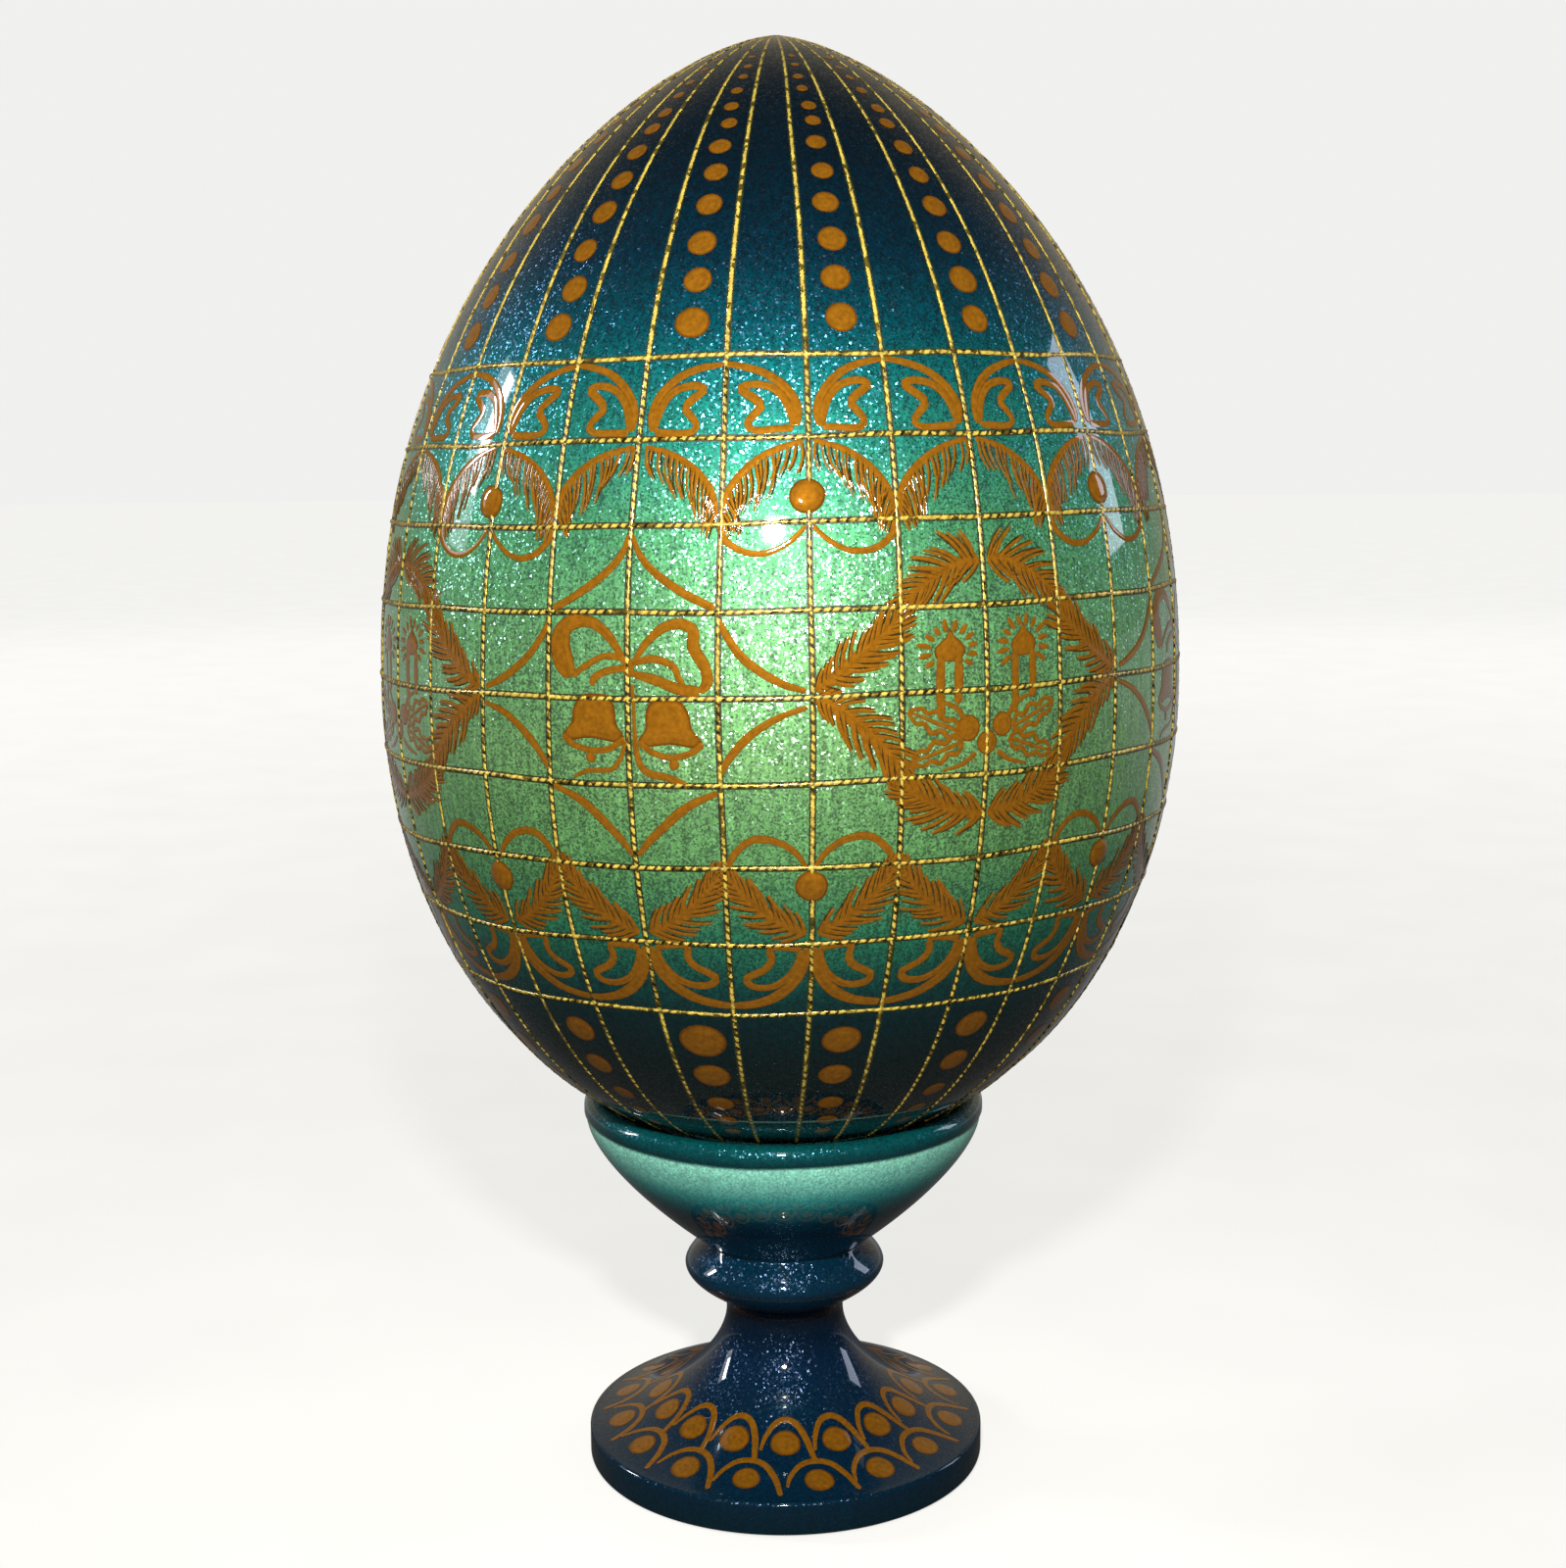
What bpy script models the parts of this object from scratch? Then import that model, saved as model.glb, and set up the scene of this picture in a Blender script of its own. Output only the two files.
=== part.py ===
"""A turned wooden egg that rests in the cup of its own turned wooden stand.

Units are metres, +Z is up, and the origin is the centre of the stand's underside.
Both pieces are solids of revolution about the Z axis.
"""
import math

import bpy

OBJECT_NAME = "Decorated egg"

# Egg
EGG_LENGTH = 0.100
EGG_RADIUS = 0.0361
EGG_LOWER_LENGTH = 0.0427
UPPER_STEEPNESS = 2.192
UPPER_FULLNESS = 1.487
LOWER_STEEPNESS = 1.998
LOWER_FULLNESS = 2.173
TIP_NUB_RADIUS = 0.0012
TIP_NUB_HEIGHT = 0.0003

# Foot of the stand
FOOT_RADIUS = 0.01885
FOOT_EDGE_HEIGHT = 0.0031
FOOT_EDGE_ROUND = 0.0004
FLARE_HEIGHT = 0.01093

# Neck and bead
NECK_RADIUS = 0.00558
NECK_LENGTH = 0.0011
BEAD_RADIUS = 0.00949
BEAD_HEIGHT = 0.006

# Cup
CUP_BASE_RADIUS = 0.0077
CUP_HEIGHT = 0.0127
RIM_RADIUS = 0.0188
LIP_WIDTH = 0.0021
LIP_DEPTH = 0.0018
LIP_QUIRK = 0.00018

# Fit of the egg in the cup
SEAT_GAP = 0.0003
RECESS_CLEARANCE = 0.0015

# Shapes of the stand's curves, as shares of the height and the width that each one spans
BOWL_START_DROP = 0.25
BOWL_END_SPREAD = 0.46
BOWL_END_RISE = 0.30
BEAD_WIDEST_SHARE = 0.585
BEAD_TOP_SPREAD = 0.22
BEAD_TOP_DROP = 0.085
BEAD_SIDE_RISE = 0.135
BEAD_SIDE_DROP = 0.205
BEAD_END_SPREAD = 0.44
BEAD_END_RISE = 0.17
FLARE_START_DROP = 0.29
FLARE_END_SPREAD = 0.695
FLARE_END_RISE = 0.19

# Fineness of the solids
EGG_STEPS = 64
STAND_STEPS = 48
EGG_LOWER_ROWS = 15
EGG_UPPER_ROWS = 20
RECESS_ROWS = 6
LIP_ROWS = 8
BOWL_ROWS = 8
BEAD_UPPER_ROWS = 4
BEAD_LOWER_ROWS = 5
FLARE_ROWS = 9
EDGE_ROWS = 3
SEAT_SAMPLES = 200
MERGE_DISTANCE = 0.00001

# Heights of the stand's parts, one on top of the other
NECK_BOTTOM = FOOT_EDGE_HEIGHT + FLARE_HEIGHT
BEAD_BOTTOM = NECK_BOTTOM + NECK_LENGTH
CUP_BOTTOM = BEAD_BOTTOM + BEAD_HEIGHT
LIP_BOTTOM = CUP_BOTTOM + CUP_HEIGHT
STAND_HEIGHT = LIP_BOTTOM + LIP_DEPTH

# The lip is a half round that the egg touches with its lower end
LIP_ROUND = LIP_WIDTH / 2
LIP_CENTRE_RADIUS = RIM_RADIUS - LIP_ROUND
LIP_CENTRE_HEIGHT = STAND_HEIGHT - LIP_ROUND
RECESS_RADIUS = RIM_RADIUS - LIP_WIDTH

EGG_COLOUR = (0.045, 0.235, 0.145, 1.0)
STAND_COLOUR = (0.008, 0.035, 0.080, 1.0)
LACQUER_ROUGHNESS = 0.15
PEARL_METALLIC = 0.3


def egg_depth_at(radius):
    """Depth of the egg's lower surface, below its widest ring, at a distance from the axis."""
    share = min(radius / EGG_RADIUS, 1.0)
    return EGG_LOWER_LENGTH * (1 - share ** LOWER_FULLNESS) ** (1 / LOWER_STEEPNESS)


def seated_widest_height():
    """Height of the egg's widest ring when its lower end comes down on the lip's round."""
    reach = LIP_ROUND + SEAT_GAP
    heights = []
    for sample in range(SEAT_SAMPLES + 1):
        angle = math.pi * sample / SEAT_SAMPLES
        depth = egg_depth_at(LIP_CENTRE_RADIUS + reach * math.cos(angle))
        heights.append(LIP_CENTRE_HEIGHT + reach * math.sin(angle) + depth)
    return max(heights)


def arc(centre, radius, start_degrees, end_degrees, steps):
    """Points on a round stretch of a profile, from one angle to another."""
    points = []
    for step in range(steps + 1):
        degrees = start_degrees + (end_degrees - start_degrees) * step / steps
        angle = math.radians(degrees)
        points.append((centre[0] + radius * math.cos(angle), centre[1] + radius * math.sin(angle)))
    return points


def sweep(start, start_pull, end_pull, end, steps):
    """Points on a smooth curve between two points, without its first point."""
    points = []
    for step in range(1, steps + 1):
        t = step / steps
        weights = ((1 - t) ** 3, 3 * (1 - t) ** 2 * t, 3 * (1 - t) * t ** 2, t ** 3)
        corners = (start, start_pull, end_pull, end)
        radius = sum(weight * corner[0] for weight, corner in zip(weights, corners))
        height = sum(weight * corner[1] for weight, corner in zip(weights, corners))
        points.append((radius, height))
    return points


def egg_profile():
    """The egg's outline from its tip down to its lower end, in two unlike halves."""
    widest = seated_widest_height()
    upper_length = EGG_LENGTH - EGG_LOWER_LENGTH
    top = widest + upper_length
    points = [(0.0, top), (TIP_NUB_RADIUS, top), (TIP_NUB_RADIUS, top - TIP_NUB_HEIGHT)]
    for row in range(1, EGG_UPPER_ROWS):
        angle = math.pi / 2 * (1 - row / EGG_UPPER_ROWS)
        radius = EGG_RADIUS * math.cos(angle) ** (2 / UPPER_FULLNESS)
        height = widest + upper_length * math.sin(angle) ** (2 / UPPER_STEEPNESS)
        if radius > TIP_NUB_RADIUS:
            points.append((radius, height))
    for row in range(EGG_LOWER_ROWS):
        angle = math.pi / 2 * row / EGG_LOWER_ROWS
        radius = EGG_RADIUS * math.cos(angle) ** (2 / LOWER_FULLNESS)
        height = widest - EGG_LOWER_LENGTH * math.sin(angle) ** (2 / LOWER_STEEPNESS)
        points.append((radius, height))
    points.append((0.0, widest - EGG_LOWER_LENGTH))
    return points


def recess_profile():
    """The cup's hollow from the axis outwards, the egg's own lower end let down by the clearance."""
    lowered = seated_widest_height() - RECESS_CLEARANCE
    points = []
    for row in range(RECESS_ROWS + 1):
        radius = RECESS_RADIUS * row / RECESS_ROWS
        points.append((radius, lowered - egg_depth_at(radius)))
    return points


def lip_profile():
    """The rounded lip from its inner side over the top to the fine quirk below it."""
    centre = (LIP_CENTRE_RADIUS, LIP_CENTRE_HEIGHT)
    quirk = [(RIM_RADIUS, LIP_BOTTOM + LIP_QUIRK), (RIM_RADIUS - LIP_QUIRK, LIP_BOTTOM)]
    return arc(centre, LIP_ROUND, 180, 0, LIP_ROWS) + quirk


def bowl_profile():
    """The bowl's outside from the quirk down to the crease above the bead."""
    start = (RIM_RADIUS - LIP_QUIRK, LIP_BOTTOM)
    end = (CUP_BASE_RADIUS, CUP_BOTTOM)
    width = start[0] - end[0]
    start_pull = (start[0], start[1] - BOWL_START_DROP * CUP_HEIGHT)
    end_pull = (end[0] + BOWL_END_SPREAD * width, end[1] + BOWL_END_RISE * CUP_HEIGHT)
    return sweep(start, start_pull, end_pull, end, BOWL_ROWS)


def bead_profile():
    """The bead between cup and neck, steep above its widest ring and slanting in below it."""
    start = (CUP_BASE_RADIUS, CUP_BOTTOM)
    widest = (BEAD_RADIUS, BEAD_BOTTOM + BEAD_WIDEST_SHARE * BEAD_HEIGHT)
    end = (NECK_RADIUS, BEAD_BOTTOM)
    swell = BEAD_RADIUS - CUP_BASE_RADIUS
    top_pull = (start[0] + BEAD_TOP_SPREAD * swell, start[1] - BEAD_TOP_DROP * BEAD_HEIGHT)
    upper_pull = (widest[0], widest[1] + BEAD_SIDE_RISE * BEAD_HEIGHT)
    undercut = BEAD_RADIUS - NECK_RADIUS
    lower_pull = (widest[0], widest[1] - BEAD_SIDE_DROP * BEAD_HEIGHT)
    end_pull = (end[0] + BEAD_END_SPREAD * undercut, end[1] + BEAD_END_RISE * BEAD_HEIGHT)
    upper = sweep(start, top_pull, upper_pull, widest, BEAD_UPPER_ROWS)
    lower = sweep(widest, lower_pull, end_pull, end, BEAD_LOWER_ROWS)
    return upper + lower


def foot_profile():
    """The foot from the neck's lower end along the flare, round the edge and to the axis."""
    start = (NECK_RADIUS, NECK_BOTTOM)
    shoulder_radius = FOOT_RADIUS - FOOT_EDGE_ROUND
    shoulder = (shoulder_radius, FOOT_EDGE_HEIGHT)
    spread = shoulder_radius - NECK_RADIUS
    start_pull = (start[0], start[1] - FLARE_START_DROP * FLARE_HEIGHT)
    end_pull = (shoulder[0] - FLARE_END_SPREAD * spread, shoulder[1] + FLARE_END_RISE * FLARE_HEIGHT)
    flare = sweep(start, start_pull, end_pull, shoulder, FLARE_ROWS)
    upper_centre = (shoulder_radius, FOOT_EDGE_HEIGHT - FOOT_EDGE_ROUND)
    lower_centre = (shoulder_radius, FOOT_EDGE_ROUND)
    upper_round = arc(upper_centre, FOOT_EDGE_ROUND, 90, 0, EDGE_ROWS)[1:]
    lower_round = arc(lower_centre, FOOT_EDGE_ROUND, 0, -90, EDGE_ROWS)
    return [start] + flare + upper_round + lower_round + [(0.0, 0.0)]


def stand_profile():
    """The stand's whole outline, up from the hollow's centre, over the lip and down the outside."""
    return recess_profile() + lip_profile() + bowl_profile() + bead_profile() + foot_profile()


def make_lacquer(name, colour):
    """A pearl paint of one colour under gloss lacquer."""
    material = bpy.data.materials.new(name)
    material.use_nodes = True
    shader = material.node_tree.nodes["Principled BSDF"]
    shader.inputs["Base Color"].default_value = colour
    shader.inputs["Roughness"].default_value = LACQUER_ROUGHNESS
    shader.inputs["Metallic"].default_value = PEARL_METALLIC
    return material


def turn(name, profile, steps, material, collection):
    """One turned piece: its outline on the +X side, swept round the Z axis."""
    mesh = bpy.data.meshes.new(name)
    points = [(radius, 0.0, height) for radius, height in profile]
    edges = [(index, index + 1) for index in range(len(points) - 1)]
    mesh.from_pydata(points, edges, [])
    mesh.materials.append(material)
    piece = bpy.data.objects.new(name, mesh)
    collection.objects.link(piece)
    screw = piece.modifiers.new("Turned", "SCREW")
    screw.axis = "Z"
    screw.angle = 2 * math.pi
    screw.steps = steps
    screw.render_steps = steps
    screw.use_merge_vertices = True
    screw.merge_threshold = MERGE_DISTANCE
    screw.use_smooth_shade = True
    return piece


def main():
    """Clears the scene and turns the two pieces."""
    for old in list(bpy.data.objects):
        bpy.data.objects.remove(old, do_unlink=True)
    collection = bpy.data.collections.new(OBJECT_NAME)
    bpy.context.scene.collection.children.link(collection)

    egg_lacquer = make_lacquer("Green lacquered wood", EGG_COLOUR)
    stand_lacquer = make_lacquer("Navy lacquered wood", STAND_COLOUR)
    turn("egg", egg_profile(), EGG_STEPS, egg_lacquer, collection)
    turn("stand", stand_profile(), STAND_STEPS, stand_lacquer, collection)


main()
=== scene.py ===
"""The look of a decorated wooden egg on its turned stand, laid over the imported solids.

The egg and the stand get finely turned lacquer skins. The gold net is wound thread that
is half sunk in the lacquer, and the copper figures are thin brushed films of paint.
Lengths are metres in the properties and millimetres in the figures' own tables.
"""
import bisect
import functools
import math
import random

import bmesh
import bpy
from bpy.props import (
    FloatProperty, FloatVectorProperty, IntProperty, PointerProperty, StringProperty)
from mathutils import Euler, Matrix, Vector, noise


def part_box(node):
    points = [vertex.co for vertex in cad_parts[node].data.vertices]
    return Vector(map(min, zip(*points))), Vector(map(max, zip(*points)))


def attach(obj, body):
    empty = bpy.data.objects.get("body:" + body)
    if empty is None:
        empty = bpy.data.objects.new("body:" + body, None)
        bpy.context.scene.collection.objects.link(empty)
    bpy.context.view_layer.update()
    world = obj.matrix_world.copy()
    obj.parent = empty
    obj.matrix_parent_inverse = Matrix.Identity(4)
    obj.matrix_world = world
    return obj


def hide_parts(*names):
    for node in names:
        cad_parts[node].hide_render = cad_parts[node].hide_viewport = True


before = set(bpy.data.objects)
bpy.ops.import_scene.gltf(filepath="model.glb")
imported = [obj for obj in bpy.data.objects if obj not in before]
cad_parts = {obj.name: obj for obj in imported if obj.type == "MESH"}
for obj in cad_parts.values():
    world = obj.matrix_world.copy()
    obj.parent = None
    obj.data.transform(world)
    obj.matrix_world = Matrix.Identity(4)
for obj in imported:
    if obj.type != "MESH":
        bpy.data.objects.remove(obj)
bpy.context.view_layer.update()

bl_info = {
    "name": "Decorated egg on a stand",
    "version": (1, 0, 0),
    "blender": (4, 5, 0),
    "location": "3D View > Sidebar > Egg",
    "description": "Lacquer, gold thread net and copper figures for a turned egg on its stand",
    "category": "Object",
}

MM = 0.001
SEED = 11

# Corners nearer than this are joined, on turned skins and threads and in thin paint
SEAM = 1e-7
PAINT_SEAM = 1e-8

EGG_LOW, EGG_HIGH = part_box("egg")
STAND_LOW, STAND_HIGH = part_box("stand")

# The egg's outline is two unlike halves, each with a fullness and a steepness
UPPER_STEEPNESS = 2.192
UPPER_FULLNESS = 1.487
LOWER_STEEPNESS = 1.998
LOWER_FULLNESS = 2.173
TIP_NUB_RADIUS = 0.0012
TIP_NUB_HEIGHT = 0.0003
TABLE_STEP = 0.00005

# The stand's smaller sizes, as the solid has them
EDGE_ROUND = 0.0004
NECK_LENGTH = 0.0011
BEAD_HEIGHT = 0.006
BEAD_WIDEST_SHARE = 0.585
CUP_BASE_RADIUS = 0.0077
LIP_WIDTH = 0.0021
LIP_DEPTH = 0.0018
LIP_QUIRK = 0.00018
RECESS_CLEARANCE = 0.0015

# The net counts its cells round the egg from the middle meridian, and its rings from the top
MIDDLE_MERIDIAN_DEGREES = 3.8
MERIDIANS = 32
CELL_DEGREES = 360 / MERIDIANS
RING_TILT = 0.015
RING_HEIGHTS = (102.28, 96.03, 89.66, 83.12, 76.50, 69.93, 63.31, 56.92, 50.64)
FOOT_DOTS = 16

# How deep the middle of each thread lies under the surface, and the height and width of the dark
# line under it, painted shade along the thread's sides
UPRIGHT_SINK = 0.00006
RING_SINK = 0.00004
SHADE_LINE_LIFT = 0.000008
SHADE_LINE_SPREAD = 1.25

# An upright starts this far from the axis at the tip and ends at this height in the cup
UPRIGHT_START_RADIUS = 0.0016
UPRIGHT_END_HEIGHT = 0.0345
THREAD_FACETS = 6
UPPER_ROWS = 400
LOWER_ROWS = 300


class EggBody(bpy.types.PropertyGroup):
    """Sizes and colours of the egg's turned body."""

    length: FloatProperty(
        name="Length", description="Height of the egg alone", unit="LENGTH", precision=4,
        default=EGG_HIGH.z - EGG_LOW.z)
    radius: FloatProperty(
        name="Radius", description="Half the egg's width at its widest ring", unit="LENGTH",
        precision=4, default=EGG_HIGH.x)
    lower_length: FloatProperty(
        name="Lower length", description="Depth of the egg below its widest ring",
        unit="LENGTH", precision=4, default=0.0427)
    steps: IntProperty(name="Steps", description="Steps round the egg's skin", default=256)
    rows: IntProperty(name="Rows", description="Rows in each half of the skin", default=84)


class StandBody(bpy.types.PropertyGroup):
    """Sizes of the turned stand, as the solid has them."""

    foot_radius: FloatProperty(
        name="Foot radius", description="Half the width of the foot", unit="LENGTH",
        precision=4, default=0.01885)
    foot_edge_height: FloatProperty(
        name="Foot edge", description="Height of the foot's upright edge", unit="LENGTH",
        precision=4, default=0.0031)
    flare_height: FloatProperty(
        name="Flare", description="Height of the flare above the edge", unit="LENGTH",
        precision=4, default=0.01093)
    neck_radius: FloatProperty(
        name="Neck radius", description="Half the width of the neck", unit="LENGTH",
        precision=4, default=0.00558)
    bead_radius: FloatProperty(
        name="Bead radius", description="Half the width of the bead", unit="LENGTH",
        precision=4, default=0.00949)
    rim_radius: FloatProperty(
        name="Rim radius", description="Half the width of the cup's rim", unit="LENGTH",
        precision=4, default=0.0188)
    steps: IntProperty(name="Steps", description="Steps round the stand's skin", default=192)


class ThreadNet(bpy.types.PropertyGroup):
    """Sizes and colours of the gold thread."""

    width: FloatProperty(
        name="Thread width", description="Wider way across the flattened thread",
        unit="LENGTH", precision=5, default=0.00044)
    height: FloatProperty(
        name="Thread height", description="Narrower way across the flattened thread",
        unit="LENGTH", precision=5, default=0.00038)
    turn: FloatProperty(
        name="Half turn", description="Length of thread in which the foil makes half a turn",
        unit="LENGTH", precision=5, default=0.0011)
    step: FloatProperty(
        name="Step", description="Length of one step of the thread's mesh", unit="LENGTH",
        precision=5, default=0.00021)
    gold: StringProperty(name="Gold", description="Colour of the foil", default="#c2ac4c")
    gap: StringProperty(
        name="Gap", description="Colour of the dark core between the turns", default="#2e2808")


class CopperFigures(bpy.types.PropertyGroup):
    """Thickness and colours of the copper paint."""

    edge_lift: FloatProperty(
        name="Edge", description="Height of the paint's edge over the ground", unit="LENGTH",
        precision=6, default=0.000012)
    middle_lift: FloatProperty(
        name="Middle", description="Height of the middle of a stroke over the ground",
        unit="LENGTH", precision=6, default=0.000045)
    copper: StringProperty(name="Copper", description="Colour of the paint", default="#7e5210")
    # The edge colour is partly painted shade: the shadow at a stroke's raised rim, as well as
    # thinner paint
    edge: StringProperty(
        name="Edge colour", description="Colour where a stroke thins out", default="#5c3406")


class Studio(bpy.types.PropertyGroup):
    """The camera and the floor."""

    camera: FloatVectorProperty(
        name="Camera", description="Place of the camera", subtype="XYZ", unit="LENGTH",
        precision=5, default=(0.0, -0.19716, 0.09405))
    pitch: FloatProperty(
        name="Pitch", description="How far the camera looks down", unit="ROTATION",
        default=math.radians(8.487))
    yaw: FloatProperty(
        name="Yaw", description="How far the camera looks to its right", unit="ROTATION",
        default=math.radians(0.056))
    roll: FloatProperty(
        name="Roll", description="Turn of the camera about its own view", unit="ROTATION",
        default=math.radians(0.414))
    lens: FloatProperty(
        name="Lens", description="Focal length on a 36 mm sensor", unit="CAMERA",
        default=49.31)
    floor_radius: FloatProperty(
        name="Floor radius", description="Size of the pale floor", unit="LENGTH", default=6.0)


@functools.cache
def egg_sizes():
    """The egg's radius, upper length, lower length and the height of its widest ring."""
    egg = bpy.context.scene.egg_body
    lower = egg.lower_length
    return egg.radius, egg.length - lower, lower, EGG_LOW.z + lower


@functools.cache
def egg_table():
    """Radii up the egg in even small steps, which figures and threads look up."""
    top = egg_sizes()[1] + egg_sizes()[3]
    return [egg_radius(step * TABLE_STEP) for step in range(int(top / TABLE_STEP) + 3)]


def egg_ring(height):
    """Radius and slope of the egg at a height, looked up in the table."""
    table = egg_table()
    spot = height / TABLE_STEP
    index = min(max(int(spot), 1), len(table) - 2)
    rise = table[index + 1] - table[index]
    return table[index] + rise * (spot - index), rise / TABLE_STEP


def egg_radius(height):
    """Distance of the egg's surface from its axis at a height."""
    radius, upper, lower, widest = egg_sizes()
    if height >= widest:
        share = min((height - widest) / upper, 1.0)
        return radius * max(1 - share ** UPPER_STEEPNESS, 0.0) ** (1 / UPPER_FULLNESS)
    share = min((widest - height) / lower, 1.0)
    return radius * max(1 - share ** LOWER_STEEPNESS, 0.0) ** (1 / LOWER_FULLNESS)


def outline_point(share):
    """A spot on the outline, from the tip (1) over the widest ring (0) to the lower end (-1)."""
    radius, upper, lower, widest = egg_sizes()
    angle = math.pi / 2 * abs(share)
    out, along = math.cos(angle), math.sin(angle)
    if share > 0:
        return radius * out ** (2 / UPPER_FULLNESS), widest + upper * along ** (2 / UPPER_STEEPNESS)
    return radius * out ** (2 / LOWER_FULLNESS), widest - lower * along ** (2 / LOWER_STEEPNESS)


def egg_outline(rows):
    """The egg's outline from its tip down to its lower end."""
    upper, lower, widest = egg_sizes()[1:]
    # The rounded nub at the tip, in shares of its own radius and height
    points = [(TIP_NUB_RADIUS * out, widest + upper - TIP_NUB_HEIGHT * down)
              for out, down in ((0.0, 0.0), (0.6, 0.06), (0.9, 0.35), (1.0, 1.0))]
    upper_half = [outline_point(1 - row / rows) for row in range(1, rows)]
    points += [point for point in upper_half if point[0] > TIP_NUB_RADIUS]
    points += [outline_point(-row / rows) for row in range(rows)]
    return points + [(0.0, widest - lower)]


def sweep(start, start_pull, end_pull, end, steps):
    """Points on a smooth curve between two points, without its first point."""
    points = []
    for step in range(1, steps + 1):
        t = step / steps
        weights = ((1 - t) ** 3, 3 * (1 - t) ** 2 * t, 3 * (1 - t) * t ** 2, t ** 3)
        corners = (start, start_pull, end_pull, end)
        points.append(tuple(sum(w * corner[k] for w, corner in zip(weights, corners))
                            for k in (0, 1)))
    return points


def arc(centre, radius, start_degrees, end_degrees, steps):
    """Points on a round stretch of an outline."""
    points = []
    for step in range(steps + 1):
        angle = math.radians(start_degrees + (end_degrees - start_degrees) * step / steps)
        points.append((centre[0] + radius * math.cos(angle), centre[1] + radius * math.sin(angle)))
    return points


def flare_outline(steps):
    """The foot's flare from the neck down to the shoulder of the edge.

    Here and in the stand's outline, a curve's pulls lie at shares of its width and height.
    """
    stand = bpy.context.scene.stand_body
    shoulder = (stand.foot_radius - EDGE_ROUND, stand.foot_edge_height)
    start = (stand.neck_radius, stand.foot_edge_height + stand.flare_height)
    spread = shoulder[0] - start[0]
    start_pull = (start[0], start[1] - 0.29 * stand.flare_height)
    end_pull = (shoulder[0] - 0.695 * spread, shoulder[1] + 0.19 * stand.flare_height)
    return [start] + sweep(start, start_pull, end_pull, shoulder, steps)


def stand_outline():
    """The stand's outline from the hollow's centre over the lip and down to the underside."""
    stand = bpy.context.scene.stand_body
    radius, _, lower, widest = egg_sizes()
    top = STAND_HIGH.z
    lip_bottom = top - LIP_DEPTH
    bead_bottom = stand.foot_edge_height + stand.flare_height + NECK_LENGTH
    cup_bottom = bead_bottom + BEAD_HEIGHT
    # The hollow is the egg's lower end, let down by the clearance
    points = []
    for row in range(9):
        out = (stand.rim_radius - LIP_WIDTH) * row / 8
        depth = lower * (1 - (out / radius) ** LOWER_FULLNESS) ** (1 / LOWER_STEEPNESS)
        points.append((out, widest - RECESS_CLEARANCE - depth))
    lip_round = LIP_WIDTH / 2
    points += arc((stand.rim_radius - lip_round, top - lip_round), lip_round, 180, 0, 24)
    start, end = (stand.rim_radius - LIP_QUIRK, lip_bottom), (CUP_BASE_RADIUS, cup_bottom)
    points += [(stand.rim_radius, lip_bottom + LIP_QUIRK), start]
    width, height = start[0] - end[0], start[1] - end[1]
    points += sweep(start, (start[0], start[1] - 0.25 * height),
                    (end[0] + 0.46 * width, end[1] + 0.30 * height), end, 40)
    bulge = (stand.bead_radius, bead_bottom + BEAD_WIDEST_SHARE * BEAD_HEIGHT)
    neck = (stand.neck_radius, bead_bottom)
    swell, undercut = stand.bead_radius - CUP_BASE_RADIUS, stand.bead_radius - stand.neck_radius
    points += sweep(end, (end[0] + 0.22 * swell, end[1] - 0.085 * BEAD_HEIGHT),
                    (bulge[0], bulge[1] + 0.135 * BEAD_HEIGHT), bulge, 16)
    points += sweep(bulge, (bulge[0], bulge[1] - 0.205 * BEAD_HEIGHT),
                    (neck[0] + 0.44 * undercut, neck[1] + 0.17 * BEAD_HEIGHT), neck, 18)
    points += flare_outline(40)
    shoulder = stand.foot_radius - EDGE_ROUND
    points += arc((shoulder, stand.foot_edge_height - EDGE_ROUND), EDGE_ROUND, 90, 0, 8)[1:]
    points += arc((shoulder, EDGE_ROUND), EDGE_ROUND, 0, -90, 8)
    return points + [(0.0, 0.0)]


def turn(name, outline, steps):
    """One closed turned skin, spun round the Z axis from its outline."""
    bm = bmesh.new()
    corners = [bm.verts.new((radius, 0.0, height)) for radius, height in outline]
    lines = [bm.edges.new(pair) for pair in zip(corners, corners[1:])]
    bmesh.ops.spin(
        bm, geom=corners + lines, cent=(0, 0, 0), axis=(0, 0, 1), dvec=(0, 0, 0),
        angle=2 * math.pi, steps=steps, use_merge=True, use_duplicate=False)
    bmesh.ops.remove_doubles(bm, verts=bm.verts, dist=SEAM)
    bmesh.ops.recalc_face_normals(bm, faces=bm.faces)
    return keep_piece(name, bm)


def keep_piece(name, bm):
    """Puts the mesh in a smooth object that rides with the part."""
    mesh = bpy.data.meshes.new(name)
    for face in bm.faces:
        face.smooth = True
    bm.to_mesh(mesh)
    bm.free()
    piece = bpy.data.objects.new(name, mesh)
    bpy.context.scene.collection.objects.link(piece)
    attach(piece, "root")
    return piece


def net_place(cells, height, lift=0.0):
    """A place on the egg, by net cells round it and a height in mm along the tilted net."""
    angle = math.radians(MIDDLE_MERIDIAN_DEGREES + CELL_DEGREES * cells)
    level = height * MM
    east, south = math.sin(angle), -math.cos(angle)
    tilted = level + RING_TILT * egg_ring(level)[0] * east
    radius, slope = egg_ring(tilted)
    lift /= math.sqrt(1 + slope * slope)
    return Vector(((radius + lift) * east, (radius + lift) * south, tilted - lift * slope))


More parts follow.
